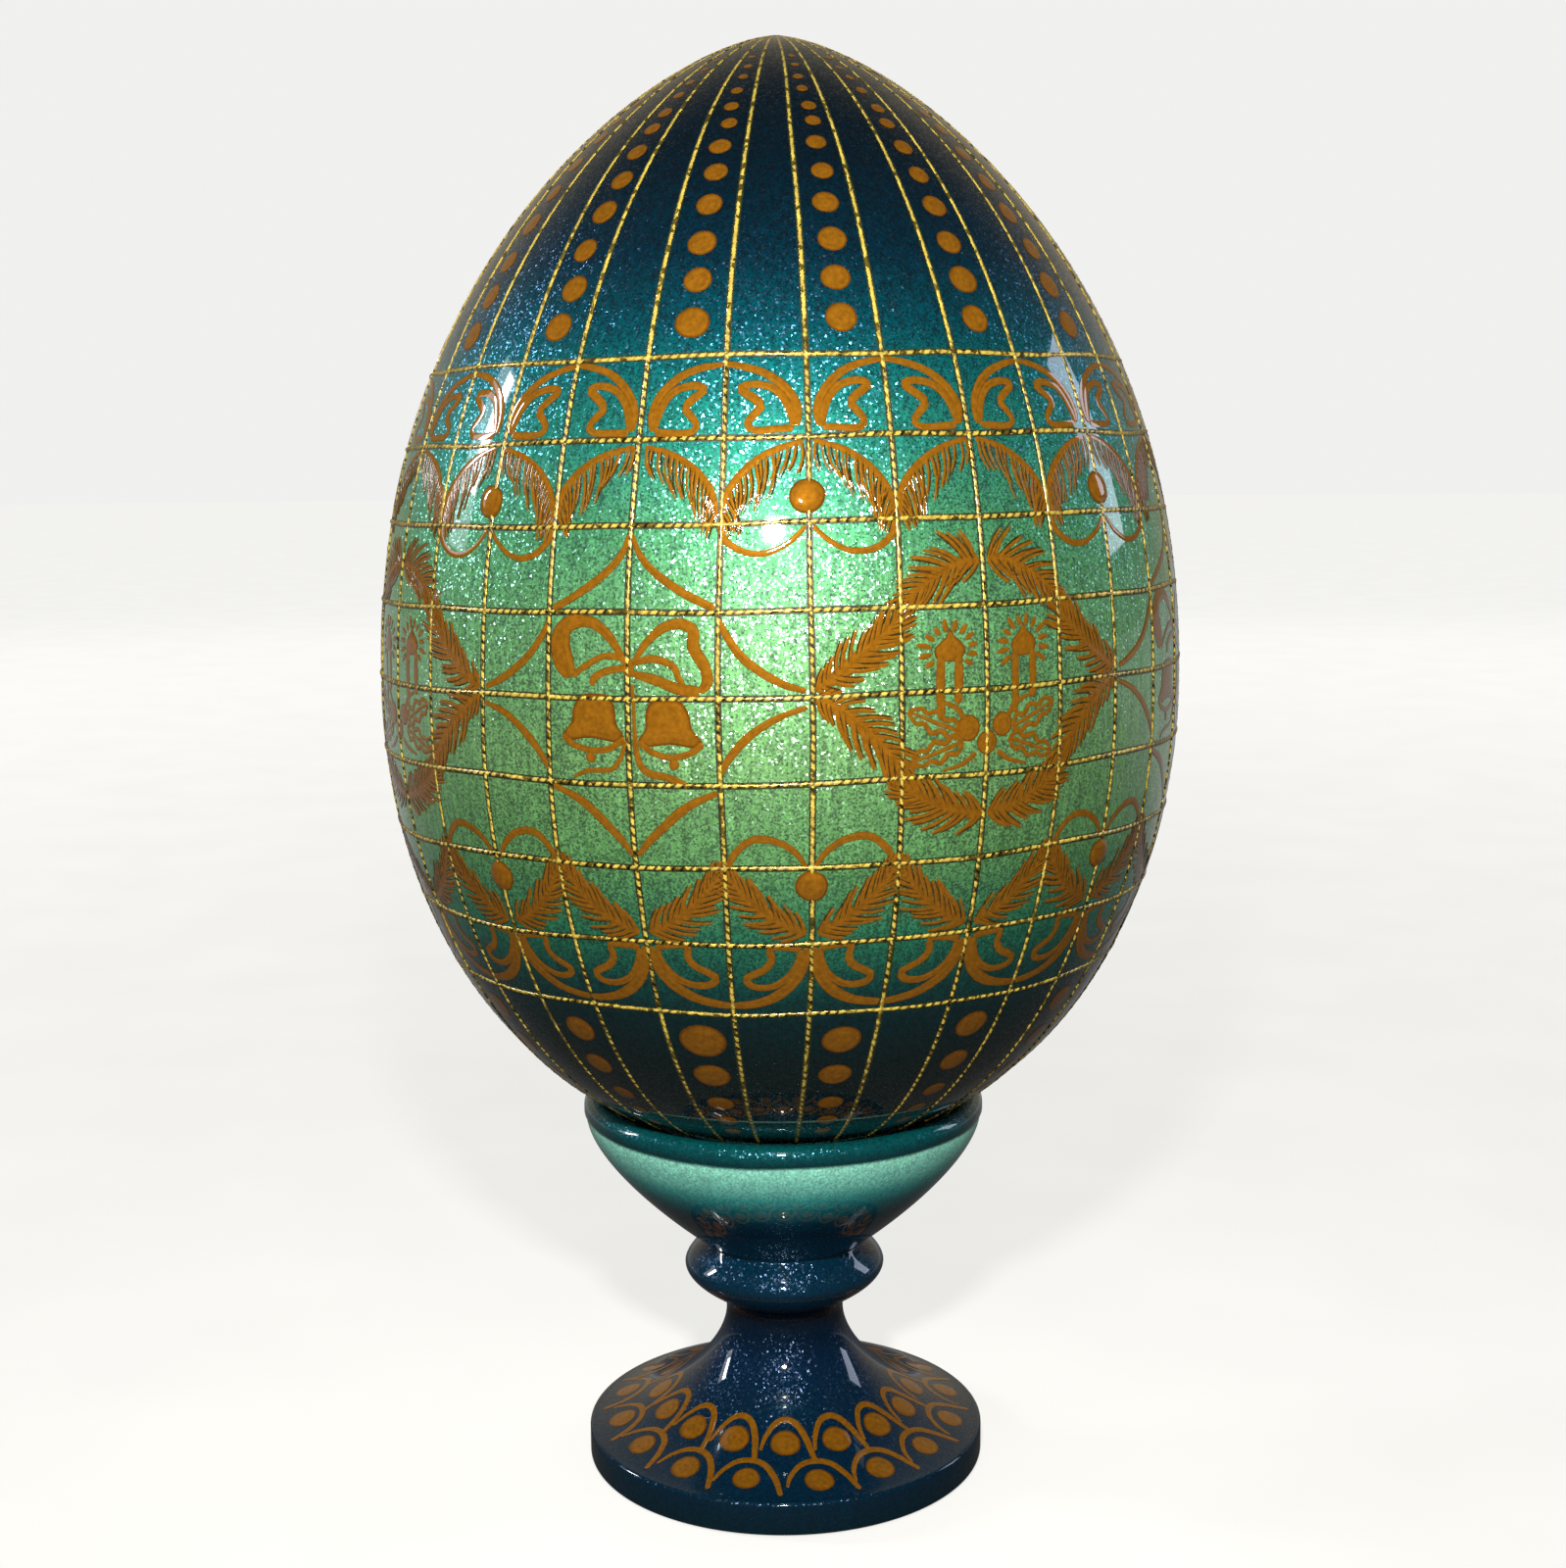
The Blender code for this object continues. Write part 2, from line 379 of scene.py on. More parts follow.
def by_hand(place, shake=1.0):
    """The same surface, with the small slips of a painter's hand.

    Slow slips of up to 0.3 mm come every 9 mm, and quick ones of 0.05 mm every 1.3 mm.
    """
    noise.seed_set(SEED)    # left alone, noise_vector takes its offsets from the clock

    def slipped(across, along, lift=0.0):
        spot = place(across, along) / MM
        slow = noise.noise_vector(spot * 0.11) * 0.30 * shake
        quick = noise.noise_vector(spot * 0.75 + Vector((31, 7, 3))) * 0.05 * shake
        slip = slow + quick
        wide, high = stretch(place, across, along)
        return place(across + slip.x / wide, along + slip.y / high, lift)
    slipped.surface = place
    return slipped


@functools.cache
def stretch_of(surface, along):
    """Millimetres of a surface for one unit each way, at a height or distance out."""
    step = 0.02
    centre = surface(0, along)
    wide = (surface(step, along) - centre).length / step
    high = (surface(0, along + step) - centre).length / step
    return max(wide / MM, 1e-4), max(high / MM, 1e-4)


def stretch(place, across, along):
    """The same for a spot, read to the nearest twentieth of a unit."""
    return stretch_of(getattr(place, "surface", place), round(along * 20) / 20)


def shift(place, spot, east, north):
    """The spot that lies a number of millimetres away on the surface."""
    wide, high = stretch(place, *spot)
    return spot[0] + east / wide, spot[1] + north / high


def flow(points, steps, closed=False):
    """A smooth line through the given points, with even steps in each stretch."""
    count = len(points)
    spans = count if closed else count - 1
    line = []
    for span in range(spans):
        near = []
        for k in (-1, 0, 1, 2):
            index = span + k
            near.append(points[index % count] if closed else points[min(max(index, 0), count - 1)])
        for step in range(steps):
            t = step / steps
            weights = (-t ** 3 + 2 * t * t - t, 3 * t ** 3 - 5 * t * t + 2,
                       -3 * t ** 3 + 4 * t * t + t, t ** 3 - t * t)
            line.append(tuple(sum(w * p[k] for w, p in zip(weights, near)) / 2 for k in (0, 1)))
    line.append(points[0] if closed else points[-1])
    return line


def along_line(line, share):
    """A spot on a line of points, at a share of its count."""
    spot = min(max(share, 0.0), 1.0) * (len(line) - 1)
    index = min(int(spot), len(line) - 2)
    t = spot - index
    return tuple(line[index][k] * (1 - t) + line[index + 1][k] * t for k in (0, 1))


def width_at(widths, share):
    """Brush width at a share of a stroke, from a few widths at even shares."""
    spot = share * (len(widths) - 1)
    index = min(int(spot), len(widths) - 2)
    t = spot - index
    t = t * t * (3 - 2 * t)
    return widths[index] * (1 - t) + widths[index + 1] * t


def stroke_uv(bm):
    """The map that runs along (X) and across (Y) each brush stroke or thread."""
    return bm.loops.layers.uv.get("UVMap") or bm.loops.layers.uv.new("UVMap")


def corners_of(grid):
    """The face corners of a new grid, which hold its map."""
    faces = {face for vert in grid["verts"] for face in vert.link_faces}
    return [loop for face in faces for loop in face.loops]


def lay_stroke(bm, place, line, widths, columns):
    """One brush stroke: a grid that is bent along a line, domed, with rounded ends."""
    paint = bpy.context.scene.copper_figures
    layer = stroke_uv(bm)
    grid = bmesh.ops.create_grid(bm, x_segments=columns, y_segments=2, size=0.5, calc_uvs=True)
    steps = [place(*spot) for spot in line]
    length = sum((b - a).length for a, b in zip(steps, steps[1:])) / MM
    sections = []
    for column in range(columns + 1):
        share = 0.5 - 0.5 * math.cos(math.pi * column / columns)
        spot = along_line(line, share)
        ahead, behind = along_line(line, share + 0.01), along_line(line, share - 0.01)
        wide, high = stretch(place, *spot)
        run_x, run_y = (ahead[0] - behind[0]) * wide, (ahead[1] - behind[1]) * high
        run = max(math.hypot(run_x, run_y), 1e-6)
        half = width_at(widths, share) / 2
        # The ends are rounded, and never close to a point
        cap = max(half, 0.01)
        end = min(share, 1 - share) * length
        if end < cap:
            half *= math.sqrt(max(1 - ((cap - end) / cap) ** 2, 0.0)) + 0.02
        sections.append((spot, -run_y / run * half / wide, run_x / run * half / high))
    for vert in grid["verts"]:
        spot, east, north = sections[round((vert.co.x + 0.5) * columns)]
        side = vert.co.y * 2
        lift = paint.middle_lift if abs(side) < 0.5 else paint.edge_lift
        vert.co = place(spot[0] + east * side, spot[1] + north * side, lift)
    for loop in corners_of(grid):
        loop[layer].uv.x *= length


def lay_patch(bm, place, centre, rim, rings=3, swell=1.0):
    """One filled dab of paint: a grid that is wrapped round a centre out to its rim."""
    paint = bpy.context.scene.copper_figures
    layer = stroke_uv(bm)
    count = len(rim) - 1
    grid = bmesh.ops.create_grid(bm, x_segments=count, y_segments=rings, size=0.5, calc_uvs=True)
    for vert in grid["verts"]:
        spot = rim[round((vert.co.x + 0.5) * count) % count]
        share = vert.co.y + 0.5
        across = centre[0] + (spot[0] - centre[0]) * share
        along = centre[1] + (spot[1] - centre[1]) * share
        lift = paint.edge_lift + (paint.middle_lift * swell - paint.edge_lift) * (1 - share ** 4)
        vert.co = place(across, along, lift)
    # A dab has its full body in the middle (0.5) and thins out to its rim (1), where it takes
    # the darker edge colour, which is partly painted shade
    for loop in corners_of(grid):
        loop[layer].uv.x *= 6
        loop[layer].uv.y = 0.5 + loop[layer].uv.y / 2


def lay_dot(bm, place, centre, width, height, steps=24, rings=3, swell=1.0):
    """A round or oval dot of paint, its sizes in millimetres on the surface."""
    wide, high = stretch(place, *centre)
    rim = []
    for step in range(steps + 1):
        angle = 2 * math.pi * step / steps
        rim.append((centre[0] + width / 2 * math.cos(angle) / wide,
                    centre[1] + height / 2 * math.sin(angle) / high))
    lay_patch(bm, place, centre, rim, rings, swell)


def lay_bough(bm, lines, place, stem, draws, feathers, reach, leans, sides, stem_widths, heft=0.33):
    """An evergreen bough: a stem, needles swept off it, and dark hair lines between them.

    Reach is the needles' length along the stem, and leans their degrees at its two ends.
    """
    line = flow(stem, 6)
    lay_stroke(bm, place, line, stem_widths, 14)
    for side in sides:
        for index in range(feathers):
            share = (index + 0.3 + 0.4 * draws.random()) / feathers
            root = along_line(line, share)
            ahead = along_line(line, share + 0.03)
            behind = along_line(line, share - 0.03)
            wide, high = stretch(place, *root)
            heading = math.atan2((ahead[1] - behind[1]) * high, (ahead[0] - behind[0]) * wide)
            lean = math.radians(leans[0] + (leans[1] - leans[0]) * share + draws.uniform(-6, 6))
            reached = width_at(reach, share) * draws.uniform(0.8, 1.15)
            # The needle bends forward halfway, so it leaves the stem wider than it ends
            first, last = heading + side * lean * 1.15, heading + side * lean * 0.8
            half = reached * 0.5
            middle = shift(place, root, half * math.cos(first), half * math.sin(first))
            tip = shift(place, middle, half * math.cos(last), half * math.sin(last))
            thick = heft * draws.uniform(0.8, 1.2)
            widths = (thick * 1.1, thick, thick * 0.6)
            lay_stroke(bm, place, flow([root, middle, tip], 3), widths, 6)
            beside = draws.uniform(0.15, 0.24)
            hair = [shift(place, spot, -beside * math.sin(last), beside * math.cos(last))
                    for spot in (root, middle, tip)]
            lay_stroke(lines, place, hair, (0.12, 0.17, 0.10), 5)


def mirrored(points, centre, side):
    """Figure points round a centre column, with their own side turned as asked."""
    return [(centre + side * across, along) for across, along in points]


def linear(code):
    """A hex colour as the linear values that a shader takes."""
    values = [int(code[k:k + 2], 16) / 255 for k in (1, 3, 5)]
    values = [v / 12.92 if v <= 0.04045 else ((v + 0.055) / 1.055) ** 2.4 for v in values]
    return (*values, 1.0)


def add(tree, kind, inputs=None, stops=None, **settings):
    """Adds a node with its settings; inputs take values, sockets or nodes' first sockets."""
    node = tree.nodes.new("ShaderNode" + kind)
    for name, value in settings.items():
        setattr(node, name, value)
    for key, value in (inputs or {}).items():
        if isinstance(value, bpy.types.Node):
            value = value.outputs[0]
        if isinstance(value, bpy.types.NodeSocket):
            tree.links.new(value, node.inputs[key])
        else:
            node.inputs[key].default_value = value
    if stops:
        elements = node.color_ramp.elements
        while len(elements) > 1:
            elements.remove(elements[-1])
        for index, (position, colour) in enumerate(stops):
            element = elements[0] if index == 0 else elements.new(position)
            element.position = position
            element.color = linear(colour) if isinstance(colour, str) else (colour,) * 3 + (1,)
    return node


def new_material(name):
    """An empty node material, its tree and the place on the piece that its patterns read."""
    material = bpy.data.materials.new(name)
    material.use_nodes = True
    tree = material.node_tree
    tree.nodes.clear()
    return material, tree, add(tree, "TexCoord").outputs["Object"]


# The clear coat over the pearl paint and its flakes, and how far its colour borders wander
GLOSS = {"Coat Weight": 1.0, "Coat Roughness": 0.035, "Coat IOR": 1.5}
WANDER = 0.0012


def pearl_lacquer(name, low, high, stops, grain, sparkle, metal):
    """Pearl paint on turned wood under thick polished lacquer.

    The eye sees a colour that shades up the piece, fine upright brush lines, small pearl
    flakes that each catch the light their own way, and above them one smooth clear gloss.
    """
    material, tree, spot = new_material(name)
    # The colours meet in soft level borders that wander by about a millimetre
    drift = add(tree, "TexNoise", {"Vector": spot, "Scale": 60.0, "Detail": 2.0})
    level = add(tree, "SeparateXYZ", {"Vector": spot}).outputs["Z"]
    nudge = add(tree, "Math", {0: drift, 1: WANDER}, operation="MULTIPLY")
    nudged = add(tree, "Math", {0: level, 1: nudge}, operation="ADD")
    share = add(tree, "MapRange", {
        "Value": nudged, "From Min": low + WANDER / 2, "From Max": high + WANDER / 2})
    ground = add(tree, "ValToRGB", {"Fac": share}, stops=stops)
    # Upright brush lines, about 0.4 mm apart and 7 mm long
    upright = add(tree, "Mapping", {"Vector": spot, "Scale": (1, 1, 0.06)})
    lines = add(tree, "TexNoise", {
        "Vector": upright, "Scale": 2400.0, "Detail": 3.0, "Roughness": 0.6})
    line_light = add(tree, "MapRange", {
        "Value": lines, "From Min": 0.3, "From Max": 0.7, "To Min": 1 - grain, "To Max": 1 + grain})
    brushed = add(tree, "VectorMath", {0: ground, "Scale": line_light}, operation="SCALE")
    # Pearl flakes of about 0.15 mm, twice as coarse as real ones so that they show
    flakes = add(tree, "TexVoronoi", {"Vector": spot, "Scale": 6800.0}, feature="F1")
    parts = add(tree, "SeparateColor", {"Color": flakes.outputs["Color"]})
    flake_light = add(tree, "MapRange", {"Value": parts.outputs[0], "To Min": 0.75, "To Max": 1.25})
    flaked = add(tree, "VectorMath", {0: brushed, "Scale": flake_light}, operation="SCALE")
    brush_relief = add(tree, "Bump", {"Height": lines, "Strength": 0.5, "Distance": 0.00006})
    paint = add(tree, "BsdfPrincipled", {
        "Base Color": flaked, "Metallic": metal, "Roughness": 0.58,
        "Specular IOR Level": 0.0, "Normal": brush_relief, **GLOSS})
    # Each flake lies its own way, so only those that face the light flash up
    again = add(tree, "TexWhiteNoise", {"Vector": flakes.outputs["Color"]})
    centred = add(tree, "VectorMath", {
        0: again.outputs["Color"], 1: (0.5, 0.5, 0.5)}, operation="SUBTRACT")
    thrown = add(tree, "VectorMath", {0: centred, "Scale": 0.5}, operation="SCALE")
    leaned = add(tree, "VectorMath", {0: brush_relief, 1: thrown}, operation="ADD")
    flake_normal = add(tree, "VectorMath", {0: leaned}, operation="NORMALIZE")
    lifted = add(tree, "VectorMath", {0: brushed, 1: (2.4, 1.8, 3.2)}, operation="MULTIPLY")
    pearl = add(tree, "Mix", {"Factor": 0.10, 6: lifted, 7: linear("#e4f4f0")}, data_type="RGBA")
    flake = add(tree, "BsdfPrincipled", {
        "Base Color": pearl.outputs[2], "Metallic": 1.0, "Roughness": 0.3,
        "Normal": flake_normal, **GLOSS})
    cover = add(tree, "MapRange", {
        "Value": parts.outputs[1], "From Min": 0.58, "From Max": 0.62, "To Max": sparkle})
    shader = add(tree, "MixShader", {0: cover, 1: paint, 2: flake})
    add(tree, "OutputMaterial", {"Surface": shader})
    return material


def copper_paint():
    """Copper bronze paint, put on with a fine brush and lacquered over.

    The eye sees a warm, nearly matt brown that is mottled and brushed lengthways, with a
    darker line along each stroke's edge, partly thinner paint and partly painted shade for
    the shadow at the paint's raised rim, under the same clear gloss as the ground.
    """
    name = "Copper bronze paint, brushed and lacquered"
    if name in bpy.data.materials:
        return bpy.data.materials[name]
    paint = bpy.context.scene.copper_figures
    material, tree, spot = new_material(name)
    stroke = add(tree, "UVMap", uv_map="UVMap")
    across = add(tree, "SeparateXYZ", {"Vector": stroke}).outputs["Y"]
    middle = add(tree, "Math", {0: across, 1: 0.5}, operation="SUBTRACT")
    side = add(tree, "Math", {0: middle}, operation="ABSOLUTE")
    # Painted shade, in part: the outer tenth on each side of a stroke darkens to the edge colour,
    # for thinner paint and for the shadow at the paint's raised rim
    thin = add(tree, "MapRange", {
        "Value": side, "From Min": 0.40, "From Max": 0.5}, interpolation_type="SMOOTHSTEP")
    mottle = add(tree, "TexNoise", {"Vector": spot, "Scale": 2600.0, "Detail": 3.0})
    mottle_light = add(tree, "MapRange", {
        "Value": mottle, "From Min": 0.3, "From Max": 0.7, "To Min": 0.8, "To Max": 1.2})
    lengthways = add(tree, "Mapping", {"Vector": stroke, "Scale": (0.6, 7.0, 1.0)})
    bristle = add(tree, "TexNoise", {"Vector": lengthways, "Scale": 1.0})
    bristle_light = add(tree, "MapRange", {
        "Value": bristle, "From Min": 0.3, "From Max": 0.7, "To Min": 0.86, "To Max": 1.14})
    light = add(tree, "Math", {0: mottle_light, 1: bristle_light}, operation="MULTIPLY")
    ground = add(tree, "Mix", {
        "Factor": thin, 6: linear(paint.copper), 7: linear(paint.edge)}, data_type="RGBA")
    colour = add(tree, "VectorMath", {0: ground.outputs[2], "Scale": light}, operation="SCALE")
    shader = add(tree, "BsdfPrincipled", {
        "Base Color": colour, "Metallic": 0.2, "Roughness": 0.48,
        "Specular IOR Level": 0.0, "Coat Weight": 1.0, "Coat Roughness": 0.03, "Coat IOR": 1.5})
    add(tree, "OutputMaterial", {"Surface": shader})
    return material


def dark_paint():
    """Thin dark brown paint, drawn in hair lines with the point of the brush.

    The eye sees soft dark lines that the ground still glints through under the gloss.
    """
    name = "Dark brown paint, hair lines"
    if name in bpy.data.materials:
        return bpy.data.materials[name]
    material, tree, spot = new_material(name)
    mottle = add(tree, "TexNoise", {"Vector": spot, "Scale": 1900.0, "Detail": 2.0})
    colour = add(tree, "ValToRGB", {"Fac": mottle}, stops=((0.3, "#201e0c"), (0.7, "#543812")))
    shader = add(tree, "BsdfPrincipled", {
        "Base Color": colour, "Roughness": 0.5, "Specular IOR Level": 0.0,
        "Coat Weight": 1.0, "Coat Roughness": 0.03})
    add(tree, "OutputMaterial", {"Surface": shader})
    return material


def wound_foil():
    """Gold foil strip wound round a dark core, as metallic embroidery thread is made.

    The eye sees short bright dashes with dark slanting gaps between them, and here and
    there a facet of the foil that flashes white.
    """
    thread = bpy.context.scene.thread_net
    material, tree, spot = new_material("Gold foil thread, wound")
    turns = add(tree, "UVMap", uv_map="UVMap")
    parts = add(tree, "SeparateXYZ", {"Vector": turns})
    winds = add(tree, "Math", {0: parts.outputs["X"], 1: 2.0}, operation="MULTIPLY")
    slanted = add(tree, "Math", {0: winds, 1: parts.outputs["Y"]}, operation="ADD")
    turn_share = add(tree, "Math", {0: slanted}, operation="FRACT")
    gap = add(tree, "ValToRGB", {"Fac": turn_share},
              stops=((0.0, 0.95), (0.20, 0.95), (0.32, 0.0), (0.82, 0.0), (0.94, 0.95)))
    wear = add(tree, "TexNoise", {"Vector": spot, "Scale": 900.0, "Detail": 2.0})
    wear_light = add(tree, "MapRange", {
        "Value": wear, "From Min": 0.35, "From Max": 0.65, "To Min": 0.75, "To Max": 1.2})
    gold = linear(thread.gold)[:3]
    foil = add(tree, "VectorMath", {0: gold, "Scale": wear_light}, operation="SCALE")
    # The turns lie close in most places and gape over a few millimetres here and there
    gaping = add(tree, "TexNoise", {"Vector": spot, "Scale": 170.0, "Detail": 2.0})
    gape = add(tree, "MapRange", {
        "Value": gaping, "From Min": 0.36, "From Max": 0.52, "To Min": 0.35, "To Max": 1.0})
    # On the crown the thread is drawn flat and tight, so its turns hardly show
    level = add(tree, "SeparateXYZ", {"Vector": spot}).outputs["Z"]
    below_crown = add(tree, "MapRange", {
        "Value": level, "From Min": 0.101, "From Max": 0.106, "To Min": 1.0, "To Max": 0.15})
    worn = add(tree, "Math", {0: gape, 1: below_crown}, operation="MULTIPLY")
    open_gap = add(tree, "Math", {0: gap, 1: worn}, operation="MULTIPLY")
    colour = add(tree, "Mix", {
        "Factor": open_gap, 6: foil, 7: linear(thread.gap)}, data_type="RGBA")
    facets = add(tree, "TexVoronoi", {"Vector": spot, "Scale": 2200.0}, feature="F1")
    facet = add(tree, "SeparateColor", {"Color": facets.outputs["Color"]})
    shine = add(tree, "MapRange", {
        "Value": facet.outputs[0], "From Min": 0.70, "From Max": 0.74, "To Max": 0.9})
    shader = add(tree, "BsdfPrincipled", {
        "Base Color": colour.outputs[2], "Metallic": shine, "Roughness": 0.34,
        "Coat Weight": 0.6, "Coat Roughness": 0.05})
    add(tree, "OutputMaterial", {"Surface": shader})
    return material


def thread_painted_shade():
    """Dark line under each thread, painted shade along its sides, mottled and lacquered over."""
    material, tree, spot = new_material("Thread glue, dark and lacquered")
    mottle = add(tree, "TexNoise", {"Vector": spot, "Scale": 1800.0, "Detail": 2.0})
    # Painted shade: a near-black line a little wider than the thread, for the shadow at its sides
    colour = add(tree, "ValToRGB", {"Fac": mottle}, stops=((0.3, "#14180c"), (0.7, "#2c3416")))
    shader = add(tree, "BsdfPrincipled", {
        "Base Color": colour, "Roughness": 0.5, "Coat Weight": 1.0, "Coat Roughness": 0.03})
    add(tree, "OutputMaterial", {"Surface": shader})
    return material


def matt_paper():
    """Plain pale studio paper with a very faint mottle."""
    material, tree, spot = new_material("Studio paper")
    mottle = add(tree, "TexNoise", {"Vector": spot, "Scale": 40.0})
    colour = add(tree, "ValToRGB", {"Fac": mottle}, stops=((0.3, "#f4f4f2"), (0.7, "#f8f8f6")))
    # The paper is lit evenly for the camera, and throws less light on the egg than it shows
    seen = add(tree, "LightPath").outputs["Is Camera Ray"]
    depth = add(tree, "SeparateXYZ", {"Vector": spot}).outputs["Y"]
    behind = add(tree, "MapRange", {
        "Value": depth, "From Min": 0.02, "From Max": 0.25, "To Min": 0.02, "To Max": 0.4})
    away = add(tree, "VectorMath", {0: spot}, operation="LENGTH").outputs["Value"]
    evened = add(tree, "MapRange", {
        "Value": away, "From Min": 0.15, "From Max": 1.0, "To Min": 0.76, "To Max": 0.94})
    glow = add(tree, "Mix", {"Factor": seen, 2: behind, 3: evened})
    lit = add(tree, "Mix", {
        "Factor": seen, 6: linear("#3c3c3a"), 7: linear("#9c9c9a")}, data_type="RGBA")
    shader = add(tree, "BsdfPrincipled", {
        "Base Color": lit.outputs[2], "Roughness": 0.9, "Specular IOR Level": 0.0,
        "Emission Color": colour, "Emission Strength": glow})
    add(tree, "OutputMaterial", {"Surface": shader})
    return material


class EGG_OT_ground(bpy.types.Operator):
    """Turns the egg's lacquered skin and lays it over the solid"""

    bl_idname = "egg.ground"
    bl_label = "Egg ground"

    def execute(self, context):
        egg = context.scene.egg_body
        skin = turn("egg_skin", egg_outline(egg.rows), egg.steps)
        stops = [(0.00, "#04181e"), (0.14, "#08282c"), (0.185, "#0a343a"), (0.215, "#145450"),
                 (0.26, "#308464"), (0.32, "#68a668"), (0.40, "#76ac6e"), (0.50, "#68a66e"),
                 (0.58, "#4c986a"), (0.64, "#268270"), (0.70, "#0a6668"), (0.735, "#034c5a"),
                 (0.79, "#033044"), (0.87, "#032234"), (0.97, "#052030"), (0.9955, "#0a1a28"),
                 (0.9975, "#7a6450")]
        skin.data.materials.append(pearl_lacquer(
            "Pearl green paint on wood, lacquered", EGG_LOW.z, EGG_HIGH.z, stops, 0.28, 0.7, 0.6))
        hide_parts("egg")
        return {"FINISHED"}


class EGG_OT_stand(bpy.types.Operator):
    """Turns the stand's lacquered skin and lays it over the solid"""

    bl_idname = "egg.stand"
    bl_label = "Stand"

    def execute(self, context):
        skin = turn("stand_skin", stand_outline(), context.scene.stand_body.steps)
        # Painted shade: the navy goes near black at the neck (0.42), in the shadow under the bead
        stops = [(0.00, "#05222f"), (0.10, "#04243a"), (0.30, "#03203a"), (0.42, "#020c1c"),
                 (0.47, "#052a40"), (0.60, "#042a40"), (0.72, "#02243a"), (0.765, "#04384a"),
                 (0.81, "#14707c"), (0.85, "#40a4a4"), (0.885, "#74ccc2"), (0.944, "#92e2d0"),
                 (0.951, "#043840"), (1.0, "#064e52")]
        skin.data.materials.append(pearl_lacquer(
            "Pearl navy paint on wood, lacquered", STAND_LOW.z, STAND_HIGH.z, stops,
            0.10, 0.3, 0.15))
        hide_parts("stand")
        return {"FINISHED"}


def lay_thread(bm, frames, closed, phase):
    """One wound thread: a grid rolled into a flattened tube that twists along its line."""
    thread = bpy.context.scene.thread_net
    layer = stroke_uv(bm)
    count = len(frames) - 1
    around = THREAD_FACETS
    length = thread.step * count
    half_turns = max(round(length / thread.turn), 1)
    grid = bmesh.ops.create_grid(bm, x_segments=count, y_segments=around, size=0.5, calc_uvs=True)
    for vert in grid["verts"]:
        share = vert.co.x + 0.5
        index = round(share * count)
        if closed:
            index %= count
        centre, side, up, scale = frames[index]
        angle = 2 * math.pi * (round((vert.co.y + 0.5) * around) % around) / around
        # The thread is pressed down to four fifths of its height
        twist = math.pi * half_turns * share + phase
        wide = thread.width / 2 * math.cos(angle) * scale
        high = thread.height / 2 * math.sin(angle) * scale
        vert.co = (centre + side * (wide * math.cos(twist) - high * math.sin(twist))
                   + up * (wide * math.sin(twist) + high * math.cos(twist)) * 0.8)
    for loop in corners_of(grid):
        loop[layer].uv.x *= half_turns


def meridian_frames(number, draws, step):
    """Centres and directions of one upright thread from the tip down into the cup."""
    bend = draws.uniform(0, 100)
    lean = draws.uniform(-0.25, 0.25)
    # The profile is walked in steps of even length
    outline = [(egg_radius(z), z) for z in profile_heights()]
    frames = []
    wanted, walked = 0.0, 0.0
    for low, high in zip(outline, outline[1:]):
        span = math.dist(low, high)
        while walked + span >= wanted:
            t = (wanted - walked) / span
            radius = low[0] * (1 - t) + high[0] * t
            height = low[1] * (1 - t) + high[1] * t
            run = ((high[0] - low[0]) / span, (high[1] - low[1]) / span)
            # The thread wanders by up to 0.2 mm, and draws thinner towards the tip
            drift = noise.noise(Vector((wanted * 60, number * 3.7, bend))) * 0.0002
            angle = math.radians(MIDDLE_MERIDIAN_DEGREES + CELL_DEGREES * number + lean)
            angle += drift / max(radius, 0.004)
            out = Vector((math.sin(angle), -math.cos(angle), 0.0))
            side = Vector((math.cos(angle), math.sin(angle), 0.0))
            up = out * -run[1] + Vector((0, 0, run[0]))
            scale = min(1.0, 0.6 + radius / 0.07)
            centre = out * radius + Vector((0, 0, height)) - up * UPRIGHT_SINK
            frames.append((centre, side, up, scale))
            wanted += step
        walked += span
    return frames


def profile_heights():
    """Heights down the egg from just under the tip into the cup, closer where it curves fast."""
    upper = [outline_point(1 - row / UPPER_ROWS)[1] for row in range(1, UPPER_ROWS)]
    lower = [outline_point(-row / LOWER_ROWS)[1] for row in range(LOWER_ROWS)]
    return ([height for height in upper if egg_radius(height) > UPRIGHT_START_RADIUS]
            + [height for height in lower if height > UPRIGHT_END_HEIGHT])


def ring_frames(ring, step):
    """Centres and directions of one level thread right round the egg."""
    height = RING_HEIGHTS[ring]
    count = round(2 * math.pi * egg_radius(height * MM) / step)
    frames = []
    for index in range(count + 1):
        cells = MERIDIANS * (index % count) / count
        angle = 2 * math.pi * (index % count) / count
        drift = noise.noise(Vector((math.cos(angle) * 3, math.sin(angle) * 3, ring * 5.1)))
        level = height + 0.25 * drift
        centre = net_place(cells, level)
        above = net_place(cells, level + 0.05)
        ahead = net_place(cells + 0.01, level)
        side = (above - centre).normalized()
        run = (ahead - centre).normalized()
        up = run.cross(side).normalized()
        frames.append((centre - up * RING_SINK, side, up, 1.0))
    return frames


